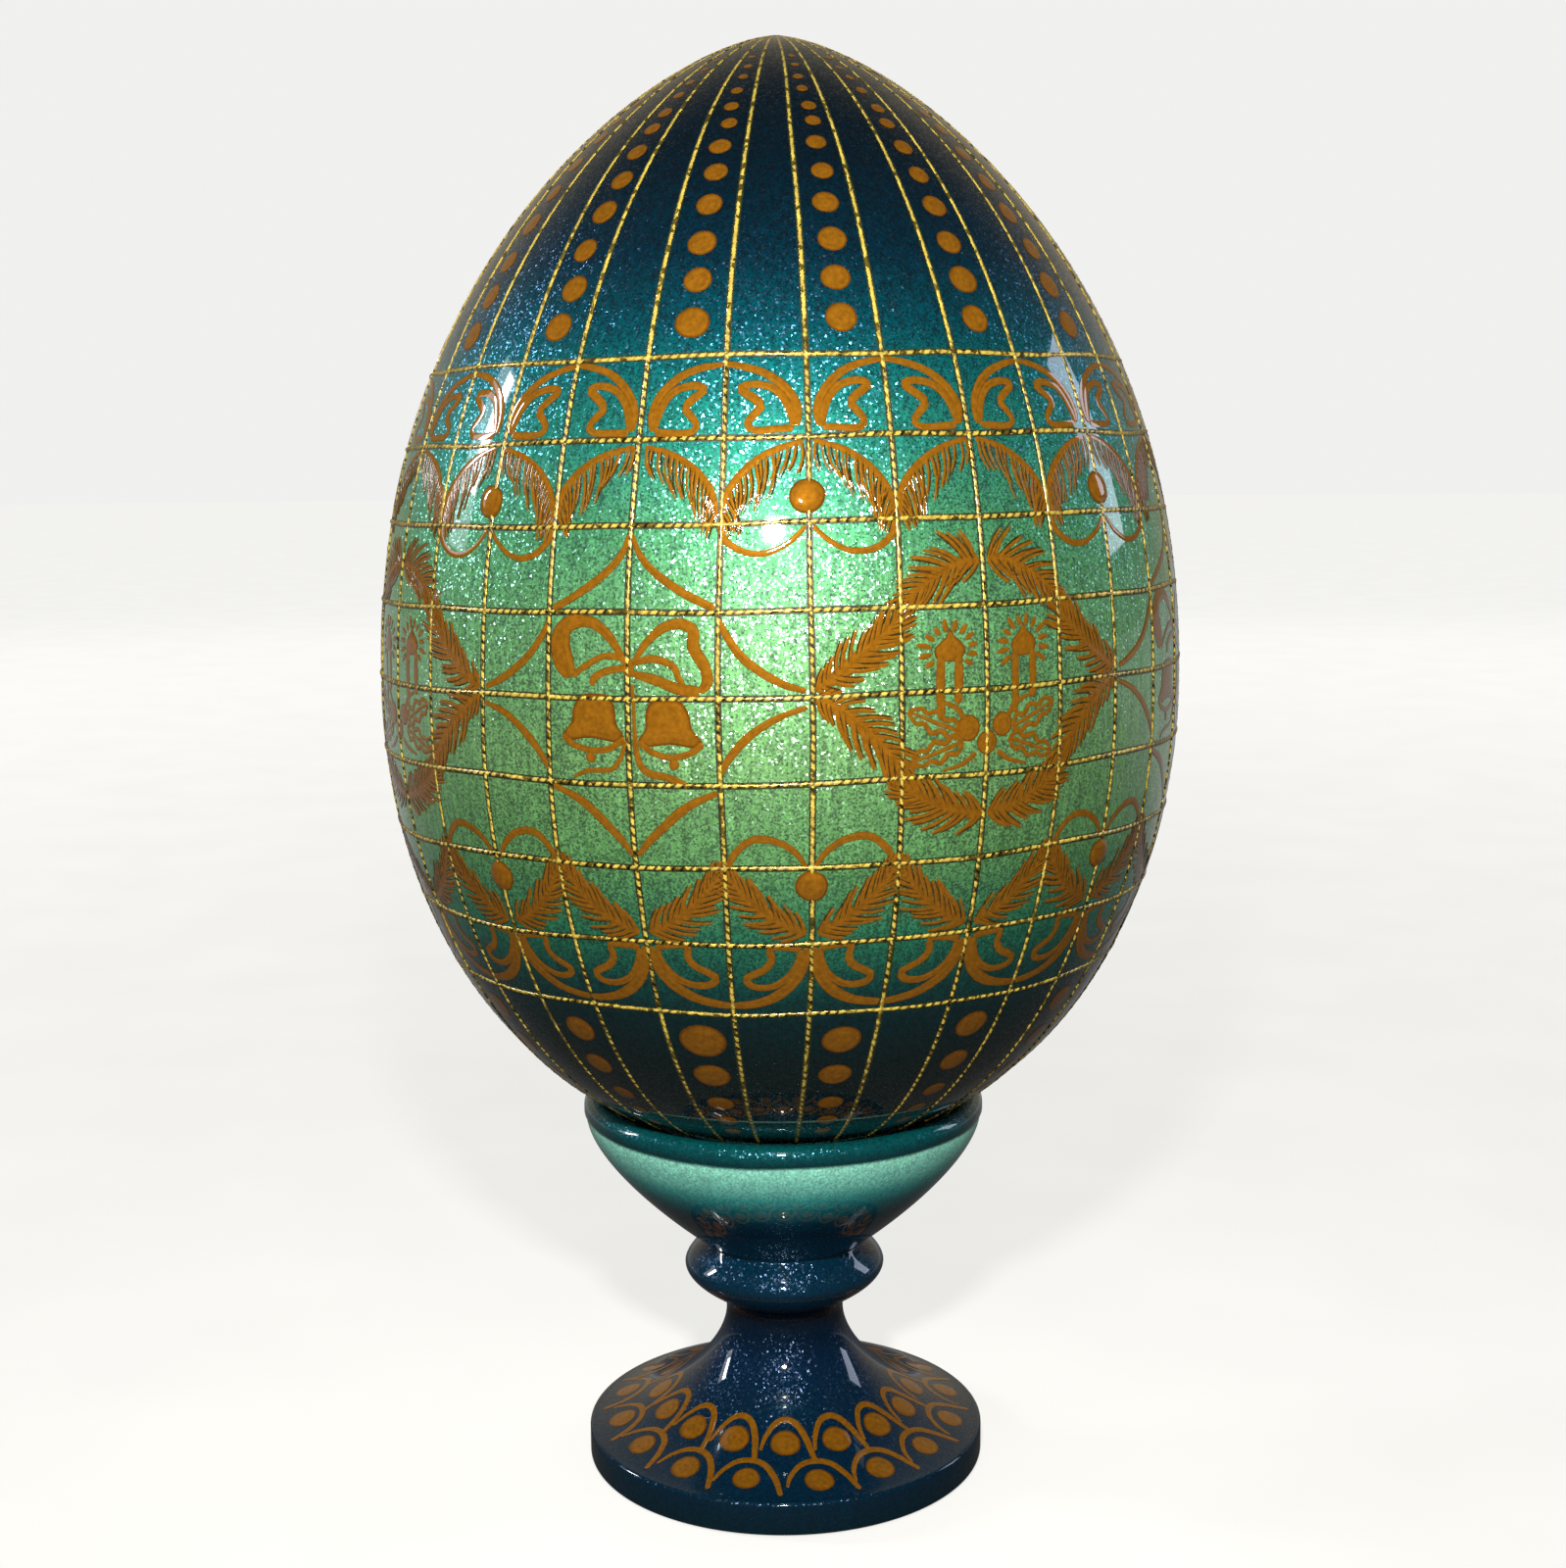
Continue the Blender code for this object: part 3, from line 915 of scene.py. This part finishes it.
class EGG_OT_threads(bpy.types.Operator):
    """Winds the gold net's upright threads and rings and lays a dark line of painted shade under
    each
    """

    bl_idname = "egg.threads"
    bl_label = "Gold thread net"

    def execute(self, context):
        step = context.scene.thread_net.step
        foil, painted_shade = wound_foil(), thread_painted_shade()
        draws = random.Random(SEED)
        shade_lines = bmesh.new()
        meridians = [meridian_frames(number, draws, step) for number in range(MERIDIANS)]
        rings = [ring_frames(ring, step) for ring in range(len(RING_HEIGHTS))]
        groups = [("thread_upright_%d" % (k + 1), meridians[k * 8:k * 8 + 8], False)
                  for k in range(4)]
        groups += [("thread_rings_upper", rings[:5], True), ("thread_rings_lower", rings[5:], True)]
        for name, threads, closed in groups:
            bm = bmesh.new()
            for frames in threads:
                lay_thread(bm, frames, closed, draws.uniform(0, math.pi))
                # The dark shade line lies flat, so every sixth step is enough for it
                lay_shade_line(shade_lines, frames[::6] + frames[-1:], closed)
            bmesh.ops.remove_doubles(bm, verts=bm.verts, dist=SEAM)
            loose = [edge for edge in bm.edges if edge.is_boundary]
            if loose:
                bmesh.ops.holes_fill(bm, edges=loose, sides=8)
            bmesh.ops.recalc_face_normals(bm, faces=bm.faces)
            piece = keep_piece(name, bm)
            piece.data.materials.append(foil)
        piece = keep_piece("thread_painted_shade", shade_lines)
        piece.data.materials.append(painted_shade)
        return {"FINISHED"}


def lay_shade_line(bm, frames, closed):
    """The flat dark line under one thread, painted shade along its sides."""
    thread = bpy.context.scene.thread_net
    count = len(frames) - 1
    stroke_uv(bm)
    grid = bmesh.ops.create_grid(bm, x_segments=count, y_segments=1, size=0.5, calc_uvs=True)
    for vert in grid["verts"]:
        centre, side, up, scale = frames[round((vert.co.x + 0.5) * count)]
        out = side * vert.co.y * thread.width * SHADE_LINE_SPREAD * scale
        vert.co = centre + out + up * (SHADE_LINE_LIFT + (RING_SINK if closed else UPRIGHT_SINK))
    faces = list({face for vert in grid["verts"] for face in vert.link_faces})
    if faces and faces[0].normal.dot(frames[0][2]) < 0:
        bmesh.ops.reverse_faces(bm, faces=faces)


def outwards(face):
    """How far a face on the egg looks away from the axis."""
    return face.normal.dot(face.calc_center_median() * Vector((1, 1, 0)))


def upwards(face):
    """How far a face on the foot looks up."""
    return face.normal.z


def painted(name, bm, material, facing=outwards):
    """Closes a group of painted figures and gives it its paint."""
    bmesh.ops.remove_doubles(bm, verts=bm.verts, dist=PAINT_SEAM)
    for face in bm.faces:
        face.normal_update()
    bmesh.ops.reverse_faces(bm, faces=[face for face in bm.faces if facing(face) < 0])
    piece = keep_piece(name, bm)
    piece.data.materials.append(material)


# Height on the egg and size of each crown dot, and height, width and length of each base dot
CROWN_DOTS = (
    (105.0, 2.55), (108.2, 2.42), (111.2, 2.28), (114.3, 2.24), (117.0, 1.95), (119.4, 1.80),
    (121.5, 1.46), (123.0, 1.24), (124.6, 1.04), (125.9, 0.88), (127.1, 0.75), (128.1, 0.62))
BASE_DOTS = ((48.0, 3.1, 2.9), (44.4, 2.75, 2.6), (41.2, 2.2, 2.0), (39.0, 1.8, 1.7),
             (37.4, 1.5, 1.4))


class EGG_OT_dots(bpy.types.Operator):
    """Dots the crown above the net's top ring and the base below its lowest ring"""

    bl_idname = "egg.dots"
    bl_label = "Crown and base dots"

    def execute(self, context):
        draws = random.Random(SEED + 1)
        place = by_hand(net_place, 0.5)
        crown, base = bmesh.new(), bmesh.new()
        for column in range(MERIDIANS // 2):
            cells = 0.5 + 2 * column
            for height, size in CROWN_DOTS:
                size *= draws.uniform(0.94, 1.06)
                centre = (cells + draws.uniform(-0.04, 0.04), height + draws.uniform(-0.1, 0.1))
                lay_dot(crown, place, centre, size * draws.uniform(0.97, 1.05), size)
            # The column just left of the middle starts with a dot that came out large
            big = 1.28 if column == 15 else draws.uniform(0.94, 1.06)
            for height, wide, high in BASE_DOTS:
                centre = (cells + draws.uniform(-0.04, 0.04), height)
                lay_dot(base, place, centre, wide * big, high * big)
                big = 1 + (big - 1) * 0.5
        painted("crown_dots", crown, copper_paint())
        painted("base_dots", base, copper_paint())
        return {"FINISHED"}


# Net cells from a figure's own middle, and height in mm, of the places a stroke goes through
SCROLL_OUTER = ((0.13, 96.75), (0.11, 98.0), (0.20, 99.4), (0.45, 100.8), (0.74, 101.5),
                (1.0, 101.75))
SCROLL_BOOT = ((0.17, 96.75), (0.40, 96.6), (0.62, 96.65), (0.69, 97.15), (0.62, 97.8),
               (0.53, 98.45), (0.62, 99.1), (0.76, 99.7), (0.74, 100.05), (0.58, 100.1),
               (0.40, 99.75), (0.27, 98.95), (0.19, 97.8))
HANGING_OUTER = ((0.05, 56.6), (0.08, 55.1), (0.22, 53.4), (0.50, 52.1), (0.80, 51.6), (0.98, 51.5))
HANGING_BOOT = ((0.12, 56.4), (0.34, 56.75), (0.51, 56.65), (0.49, 55.7), (0.58, 54.8),
                (0.80, 54.05), (0.74, 53.3), (0.52, 53.2), (0.32, 53.8), (0.18, 54.9))
UPPER_STEM = ((0.06, 95.6), (0.40, 95.0), (0.70, 93.8), (0.91, 92.1), (0.97, 90.3))
LOWER_STEM = ((0.07, 57.8), (0.33, 58.6), (0.62, 60.0), (0.83, 61.6), (0.95, 62.9))
DROP = ((0.97, 90.0), (0.93, 88.7), (0.72, 87.6), (0.45, 87.4), (0.20, 88.2), (0.04, 89.3))
HUMP = ((0.05, 63.2), (0.17, 64.5), (0.42, 65.5), (0.68, 65.5), (0.88, 64.3), (0.95, 62.9))

# The scrolls' strokes: places, whether the line closes, widths in mm, steps in a stretch, columns
SCROLLS = (
    (SCROLL_OUTER, False, (0.45, 0.66, 0.7, 0.62, 0.45), 5, 18),
    (SCROLL_BOOT, True, (0.62, 0.56, 0.7, 0.66, 0.62, 0.62), 4, 36),
    (HANGING_OUTER, False, (0.5, 0.95, 1.0, 0.8, 0.65), 5, 18),
    (HANGING_BOOT, True, (0.7, 0.6, 0.7, 0.7, 0.65, 0.7), 4, 34))


class EGG_OT_borders(bpy.types.Operator):
    """Paints the scrolls, boughs, balls and scallops of the two borders"""

    bl_idname = "egg.borders"
    bl_label = "Borders"

    def execute(self, context):
        draws = random.Random(SEED + 2)
        place = by_hand(net_place)
        scrolls, boughs, balls, lines = bmesh.new(), bmesh.new(), bmesh.new(), bmesh.new()
        for column in range(MERIDIANS // 2):
            centre = 2 * column
            for side in (-1, 1):
                for points, closed, widths, steps, columns in SCROLLS:
                    line = flow(mirrored(points, centre, side), steps, closed)
                    lay_stroke(scrolls, place, line, widths, columns)
                lay_bough(boughs, lines, place, mirrored(UPPER_STEM, centre, side), draws, 18,
                          (2.5, 3.7, 3.5, 1.8), (68, 30), (-side,), (0.4, 0.6, 0.65, 0.45), 0.21)
                lay_bough(boughs, lines, place, mirrored(LOWER_STEM, centre, side), draws, 14,
                          (2.5, 2.9, 2.5, 1.3), (44, 18), (-1, 1), (0.9, 1.1, 0.5))
                if column % 2 == 0:
                    for points, widths in ((DROP, (0.6, 0.55, 0.5, 0.42, 0.35)),
                                           (HUMP, (0.35, 0.55, 0.62, 0.6, 0.5))):
                        line = flow(mirrored(points, centre, side), 5)
                        lay_stroke(balls, place, line, widths, 22)
            if column % 2 == 0:
                lay_dot(balls, place, (centre - 0.02, 91.5), 2.7, 2.65, 28, 4, 4.6)
                lay_dot(balls, place, (centre, 61.7), 2.6, 2.6, 28, 4, 4.6)
        painted("border_scrolls", scrolls, copper_paint())
        painted("border_boughs", boughs, copper_paint())
        painted("border_bough_lines", lines, dark_paint())
        painted("border_balls", balls, copper_paint())
        return {"FINISHED"}


# One side of a bell medallion's frame: the places of each stroke and its widths in mm
BELL_FRAME = (
    (((0.02, 88.9), (0.12, 87.3), (0.33, 85.9), (0.62, 84.6), (0.96, 83.4)),
     (0.35, 0.6, 0.7, 0.6)),
    (((0.99, 82.5), (1.12, 80.9), (1.30, 79.4), (1.60, 78.0), (1.92, 77.1)),
     (0.5, 0.65, 0.65, 0.45)),
    (((1.93, 75.9), (1.62, 75.2), (1.36, 74.0), (1.16, 72.5), (1.0, 70.7)),
     (0.4, 0.6, 0.7, 0.5)),
    (((0.98, 69.4), (0.64, 68.4), (0.38, 66.9), (0.17, 65.5), (0.03, 64.3)),
     (0.5, 0.75, 0.7, 0.4)))

# The ribbon's loops and ends above the bells, and its two tails between them, in the same way
BOW = (
    (((-0.04, 79.0), (-0.14, 80.2), (-0.28, 81.4), (-0.50, 82.3), (-0.76, 82.1), (-0.84, 80.8),
      (-0.78, 79.2), (-0.68, 78.0)), (0.4, 0.6, 0.8, 0.9, 1.4, 1.8, 1.8, 1.0)),
    (((-0.66, 78.1), (-0.50, 78.9), (-0.30, 79.6), (-0.06, 79.6)), (0.5, 0.5, 0.5, 0.6)),
    (((-0.03, 78.8), (-0.22, 78.6), (-0.40, 78.0), (-0.42, 77.3)), (0.5, 0.55, 0.6, 0.4)),
    (((0.04, 79.2), (0.18, 80.7), (0.36, 81.9), (0.56, 82.3), (0.72, 81.8), (0.72, 80.6),
      (0.84, 79.2), (0.88, 78.0), (0.80, 77.2)), (0.4, 0.6, 0.75, 0.85, 0.9, 1.0, 0.9, 0.9, 0.6)),
    (((0.80, 77.2), (0.56, 77.4), (0.30, 78.0), (0.03, 78.4)), (0.8, 0.9, 0.8, 0.5)),
    (((0.04, 79.2), (0.28, 79.6), (0.50, 79.1), (0.56, 78.3), (0.62, 77.7)),
     (0.5, 0.6, 0.6, 0.5, 0.4)))
BOW_TAILS = (
    (((0.04, 77.6), (0.06, 75.5), (0.06, 73.2), (0.10, 71.7), (0.22, 70.9), (0.45, 70.6),
      (0.66, 69.9)), (0.3, 0.3, 0.5, 0.6, 0.6, 0.5)),
    (((-0.05, 73.4), (-0.12, 71.9), (-0.26, 71.0), (-0.52, 70.8), (-0.70, 70.2)),
     (0.3, 0.4, 0.4, 0.25)))

# A bell from its own top: net cells from its middle and mm down
BELL_BODY = ((0.0, 0.15), (0.17, 0.0), (0.25, -1.0), (0.27, -2.1), (0.37, -3.0), (0.30, -3.5),
             (0.0, -3.2), (-0.30, -3.5), (-0.37, -3.0), (-0.27, -2.1), (-0.25, -1.0), (-0.17, 0.0))
BELL_MOUTH = ((-0.36, -3.1), (-0.22, -3.85), (0.0, -4.2), (0.22, -3.9), (0.37, -3.1))


class EGG_OT_bells(bpy.types.Operator):
    """Paints the medallions with two bells and a bow in a frame of four hollow sides"""

    bl_idname = "egg.bells"
    bl_label = "Bell medallions"

    def execute(self, context):
        place = by_hand(net_place)
        frames, bells = bmesh.new(), bmesh.new()
        for medallion in range(4):
            centre = 8 * medallion - 2
            for side in (-1, 1):
                for line, widths in BELL_FRAME:
                    line = flow(mirrored(line, centre, side), 5)
                    lay_stroke(frames, place, line, widths, 20)
            lay_bells(bells, place, centre)
        painted("bell_frames", frames, copper_paint())
        painted("bells_and_bow", bells, copper_paint())
        return {"FINISHED"}


def lay_bells(bm, place, centre):
    """Two open bells that hang side by side from a ribbon bow."""
    for line, widths in BOW:
        lay_stroke(bm, place, flow(mirrored(line, centre, 1), 5), widths, 5 * len(line))
    lay_dot(bm, place, (centre - 0.01, 78.8), 1.0, 1.5, 16, 2)
    for lean, middle, top in ((-1, centre - 0.40, 76.6), (1, centre + 0.43, 76.4)):
        def tilted(points):
            return [(middle + u - lean * 0.012 * z, z + top) for u, z in points]
        rim = flow(tilted(BELL_BODY), 3, True)
        lay_patch(bm, place, tilted(((0.0, -1.6),))[0], rim, 4)
        mouth = flow(tilted(BELL_MOUTH), 5)
        lay_stroke(bm, place, mouth, (0.55, 0.5, 0.5, 0.5, 0.55), 18)
        lay_dot(bm, place, tilted(((0.02 * lean, -4.75),))[0], 0.85, 0.85, 14, 2)
    for line, widths in BOW_TAILS:
        lay_stroke(bm, place, flow(mirrored(line, centre, 1), 4), widths, 24)


# The boughs on one side of a candle medallion: stem, needles a side, their reach in mm along the
# stem, their lean in degrees, the stem's widths and a needle's width in mm
CANDLE_BOUGHS = (
    (((0.05, 86.4), (0.25, 86.5), (0.50, 85.9), (0.74, 85.0), (0.97, 83.7)),
     15, (2.5, 3.2, 2.8, 1.6), (50, 26), (0.5, 0.8, 0.5), 0.30),
    (((0.02, 66.7), (0.34, 67.1), (0.62, 67.9), (0.85, 68.8), (0.99, 69.6)),
     16, (2.3, 3.0, 2.6, 1.5), (50, 26), (1.0, 1.3, 0.6), 0.36),
    (((1.98, 77.1), (1.72, 78.1), (1.42, 79.7), (1.18, 81.2), (1.05, 82.3)),
     15, (1.6, 3.0, 2.8, 1.5), (48, 24), (0.5, 1.2, 1.1, 0.5), 0.36),
    (((1.98, 76.6), (1.72, 75.5), (1.42, 73.8), (1.18, 72.0), (1.05, 70.6)),
     15, (1.6, 3.0, 2.8, 1.5), (48, 24), (0.5, 1.2, 1.1, 0.5), 0.36))
FLAME = ((0.0, 81.5), (0.05, 80.9), (0.13, 80.4), (0.18, 79.8), (0.13, 79.1), (0.0, 78.9),
         (-0.14, 79.1), (-0.18, 79.8), (-0.12, 80.4), (-0.04, 80.9))
FLAME_HEIGHT = 79.8


class EGG_OT_candles(bpy.types.Operator):
    """Paints the medallions with two candles over holly, between four boughs and four sprigs"""

    bl_idname = "egg.candles"
    bl_label = "Candle medallions"

    def execute(self, context):
        draws = random.Random(SEED + 4)
        place = by_hand(net_place)
        boughs, candles, lines = bmesh.new(), bmesh.new(), bmesh.new()
        for medallion in range(4):
            centre = 8 * medallion + 2
            for side in (-1, 1):
                for stem, needles, reach, leans, widths, heft in CANDLE_BOUGHS:
                    lay_bough(boughs, lines, place, mirrored(stem, centre, side), draws,
                              needles, reach, leans, (-1, 1), widths, heft)
            lay_candles(candles, place, centre, draws)
        painted("candle_boughs", boughs, copper_paint())
        painted("candle_bough_lines", lines, dark_paint())
        painted("candles_and_holly", candles, copper_paint())
        return {"FINISHED"}


def lay_candles(bm, place, centre, draws):
    """Two burning candles with rays of light, over three berries and four holly leaves."""
    for offset, half, base in ((-0.45, 0.10, 74.4), (0.50, 0.12, 74.5)):
        middle = centre + offset
        flame = flow(mirrored(FLAME, middle, 1), 3, True)
        lay_patch(bm, place, (middle, FLAME_HEIGHT), flame, 3)
        for edge, low in ((-half, base), (half, base + 1.7)):
            line = ((middle + edge, 79.4), (middle + edge * 1.05, 77.6), (middle + edge, low))
            lay_stroke(bm, place, flow(line, 5), (0.6, 0.74, 0.58), 14)
        lay_dot(bm, place, (middle + half, base + 1.6), 0.75, 1.0, 12, 2)
        for ray in range(12):
            angle = math.radians(-35 + 250 * ray / 11)
            wide, high = stretch(place, middle, FLAME_HEIGHT)
            ends = [(middle + out * math.cos(angle) * 0.85 / wide,
                     FLAME_HEIGHT + out * math.sin(angle) * 0.8 / high)
                    for out in (1.75, 2.95 + draws.uniform(-0.25, 0.35))]
            lay_stroke(bm, place, flow(ends, 3), (0.34, 0.46, 0.30), 4)
    for across, height, size in ((-0.24, 73.6, 2.05), (0.20, 73.7, 1.9), (0.0, 72.35, 1.9)):
        lay_dot(bm, place, (centre + across, height), size, size, 20, 3)
    for side in (-1, 1):
        for ends in (((0.34, 73.4), (0.93, 75.2)), ((0.30, 72.6), (0.92, 71.3))):
            lay_holly(bm, place, mirrored(ends, centre, side))
        for line in (((0.28, 74.3), (0.38, 75.3), (0.62, 76.0)),
                     ((0.14, 71.6), (0.30, 70.9), (0.55, 70.5))):
            lay_stroke(bm, place, flow(mirrored(line, centre, side), 4), (0.45, 0.4, 0.2), 10)


def lay_holly(bm, place, ends):
    """One holly leaf: a vein and an outline that scoops in between its points."""
    wide, high = stretch(place, *ends[0])
    run = Vector(((ends[1][0] - ends[0][0]) * wide, (ends[1][1] - ends[0][1]) * high))
    along = run.normalized()
    across = Vector((-along.y, along.x))
    for side in (-1, 1):
        points = []
        # Share of the leaf's length, and mm out from the vein before it is drawn in a little
        for share, reach in ((0.0, 0.05), (0.17, 0.75), (0.32, 0.42), (0.5, 0.95), (0.66, 0.42),
                             (0.8, 0.66), (1.0, 0.0)):
            step = run * share + across * side * reach * 0.95
            points.append((ends[0][0] + step.x / wide, ends[0][1] + step.y / high))
        lay_stroke(bm, place, flow(points, 4), (0.36, 0.44, 0.40, 0.32), 22)
    lay_stroke(bm, place, flow(ends, 4), (0.36, 0.32, 0.2), 8)


@functools.cache
def foot_line():
    """The flare's outline, worked out once."""
    return flare_outline(60)


def foot_place(steps, out, lift=0.0):
    """A place on the flare of the foot, by dot steps round it and millimetres from the axis."""
    angle = 2 * math.pi * steps / FOOT_DOTS
    line = foot_line()
    radius = out * MM
    index = min(max(bisect.bisect(line, (radius, 0.0)) - 1, 0), len(line) - 2)
    low, high = line[index], line[index + 1]
    t = (radius - low[0]) / max(high[0] - low[0], 1e-9)
    height = low[1] * (1 - t) + high[1] * t
    slope = (high[1] - low[1]) / max(high[0] - low[0], 1e-9)
    away = Vector((-slope * math.sin(angle), slope * math.cos(angle), 1.0)).normalized()
    return Vector((radius * math.sin(angle), -radius * math.cos(angle), height)) + away * lift


class EGG_OT_foot(bpy.types.Operator):
    """Paints two rows of dots on the foot, each dot under its own arch"""

    bl_idname = "egg.foot"
    bl_label = "Foot dots"

    def execute(self, context):
        draws = random.Random(SEED + 5)
        place = by_hand(foot_place, 0.6)
        dots, arches = bmesh.new(), bmesh.new()
        # Each row's distance out in mm, its turn in dot steps, a dot's size and the arch's tail
        for out, offset, size, tail in ((12.1, 0.02, 2.75, 1.9), (15.95, 0.46, 2.7, 1.75)):
            for step in range(FOOT_DOTS):
                middle = step + offset + draws.uniform(-0.03, 0.03)
                wide = size * draws.uniform(0.95, 1.07)
                lay_dot(dots, place, (middle, out + draws.uniform(-0.12, 0.12)), wide, wide * 0.98)
                arch = [(middle + across, out + further) for across, further in (
                    (-0.46, 0.75), (-0.40, -0.6), (-0.22, -1.75), (0.03, -2.05), (0.27, -1.55),
                    (0.42, -0.2), (0.50, tail))]
                lay_stroke(arches, place, flow(arch, 5), (0.3, 0.5, 0.62, 0.66, 0.66, 0.5), 30)
        painted("foot_dots", dots, copper_paint(), upwards)
        painted("foot_arches", arches, copper_paint(), upwards)
        return {"FINISHED"}


class EGG_OT_stage(bpy.types.Operator):
    """Sets the pale floor, the soft lights and the camera"""

    bl_idname = "egg.stage"
    bl_label = "Studio"

    def execute(self, context):
        studio = context.scene.egg_studio
        bm = bmesh.new()
        bmesh.ops.create_circle(bm, cap_ends=True, segments=96, radius=studio.floor_radius,
                                matrix=Matrix.Translation((0, 0, -0.0001)))
        mesh = bpy.data.meshes.new("floor")
        bm.to_mesh(mesh)
        bm.free()
        floor = bpy.data.objects.new("floor", mesh)
        mesh.materials.append(matt_paper())
        context.scene.collection.objects.link(floor)

        world = bpy.data.worlds.new("Studio")
        context.scene.world = world
        world.use_nodes = True
        sky = world.node_tree
        # The camera sees an even pale backdrop, and the soft light comes from behind the egg
        seen = add(sky, "LightPath").outputs["Is Camera Ray"]
        facing = add(sky, "TexCoord").outputs["Generated"]
        depth = add(sky, "SeparateXYZ", {"Vector": facing}).outputs["Y"]
        behind = add(sky, "MapRange", {
            "Value": depth, "From Min": 0.3, "From Max": 0.95, "To Min": 0.035, "To Max": 0.42
        }, interpolation_type="SMOOTHSTEP")
        strength = add(sky, "Mix", {"Factor": seen, 2: behind, 3: 0.93})
        tint = add(sky, "Mix", {
            "Factor": seen, 6: linear("#f2e2c4"), 7: linear("#f8f8f7")}, data_type="RGBA")
        sky.links.new(tint.outputs[2], sky.nodes["Background"].inputs["Color"])
        sky.links.new(strength.outputs[0], sky.nodes["Background"].inputs["Strength"])

        # Degrees round from the camera and up, then distance, width, height, watts and colour
        aim = Vector((0, 0, 0.085))
        for name, azimuth, elevation, distance, width, height, watts, colour in (
                ("Left window", -103, 19, 0.9, 0.14, 0.34, 0.45, "#eef4ff"),
                ("Left pane", -101, 22, 0.88, 0.05, 0.22, 1.9, "#ffffff"),
                ("Right window", 110, 18, 0.9, 0.16, 0.36, 0.8, "#dfeaff"),
                ("Table bounce", -3, -8, 0.45, 0.5, 0.04, 0.55, "#fff2dc"),
                ("Back fill", 178, 30, 1.0, 0.8, 0.5, 1.3, "#fff8ee"),
                ("Right fill", 122, 22, 1.0, 0.5, 0.4, 1.0, "#fff8ee"),
                ("Left fill", -124, 22, 1.0, 0.5, 0.4, 1.0, "#fff8ee"),
                ("Flash", -1.4, 17.2, 0.168, 0.014, 0.010, 0.42, "#fffaf0")):
            light = bpy.data.lights.new(name, "AREA")
            light.shape = "ELLIPSE" if name == "Flash" else "RECTANGLE"
            light.size = width
            light.size_y = height
            light.energy = watts
            light.color = linear(colour)[:3]
            lamp = bpy.data.objects.new(name, light)
            angle, rise = math.radians(azimuth), math.radians(elevation)
            way = Vector((math.sin(angle) * math.cos(rise), -math.cos(angle) * math.cos(rise),
                          math.sin(rise)))
            lamp.location = aim + way * distance
            lamp.rotation_euler = way.to_track_quat("Z", "Y").to_euler()
            # Light off a table or a wall is too wide and faint to mirror as a shape in the gloss
            lamp.visible_glossy = "fill" not in name and "bounce" not in name
            context.scene.collection.objects.link(lamp)

        camera = bpy.data.cameras.new("Camera")
        camera.lens = studio.lens
        camera.sensor_width = 36.0
        camera.clip_start = 0.01
        camera.clip_end = 50.0
        taker = bpy.data.objects.new("Camera", camera)
        context.scene.collection.objects.link(taker)
        aim_matrix = Euler((math.pi / 2 - studio.pitch, 0, -studio.yaw)).to_matrix()
        roll = Matrix.Rotation(-studio.roll, 3, "Z")
        taker.rotation_euler = (aim_matrix @ roll).to_euler()
        taker.location = studio.camera
        context.scene.camera = taker
        context.scene.view_settings.view_transform = "Standard"
        return {"FINISHED"}


class EGG_PT_panel(bpy.types.Panel):
    """Lists the steps that dress the egg"""

    bl_idname = "EGG_PT_panel"
    bl_label = "Decorated egg"
    bl_space_type = "VIEW_3D"
    bl_region_type = "UI"
    bl_category = "Egg"

    def draw(self, context):
        for operator in OPERATORS:
            self.layout.operator(operator.bl_idname)


GROUPS = {"egg_body": EggBody, "stand_body": StandBody, "thread_net": ThreadNet,
          "copper_figures": CopperFigures, "egg_studio": Studio}
OPERATORS = (EGG_OT_ground, EGG_OT_stand, EGG_OT_threads, EGG_OT_dots, EGG_OT_borders, EGG_OT_bells,
             EGG_OT_candles, EGG_OT_foot, EGG_OT_stage)


def register():
    """Registers the settings, the operators and the panel."""
    for kind in (*GROUPS.values(), *OPERATORS, EGG_PT_panel):
        bpy.utils.register_class(kind)
    for name, group in GROUPS.items():
        setattr(bpy.types.Scene, name, PointerProperty(type=group))


def unregister():
    """Takes everything back out again."""
    for name in GROUPS:
        delattr(bpy.types.Scene, name)
    for kind in reversed((*GROUPS.values(), *OPERATORS, EGG_PT_panel)):
        bpy.utils.unregister_class(kind)


def main():
    """Dresses the part step by step."""
    register()
    bpy.ops.egg.ground()
    bpy.ops.egg.stand()
    bpy.ops.egg.threads()
    bpy.ops.egg.dots()
    bpy.ops.egg.borders()
    bpy.ops.egg.bells()
    bpy.ops.egg.candles()
    bpy.ops.egg.foot()
    bpy.ops.egg.stage()


if __name__ == "__main__":
    main()
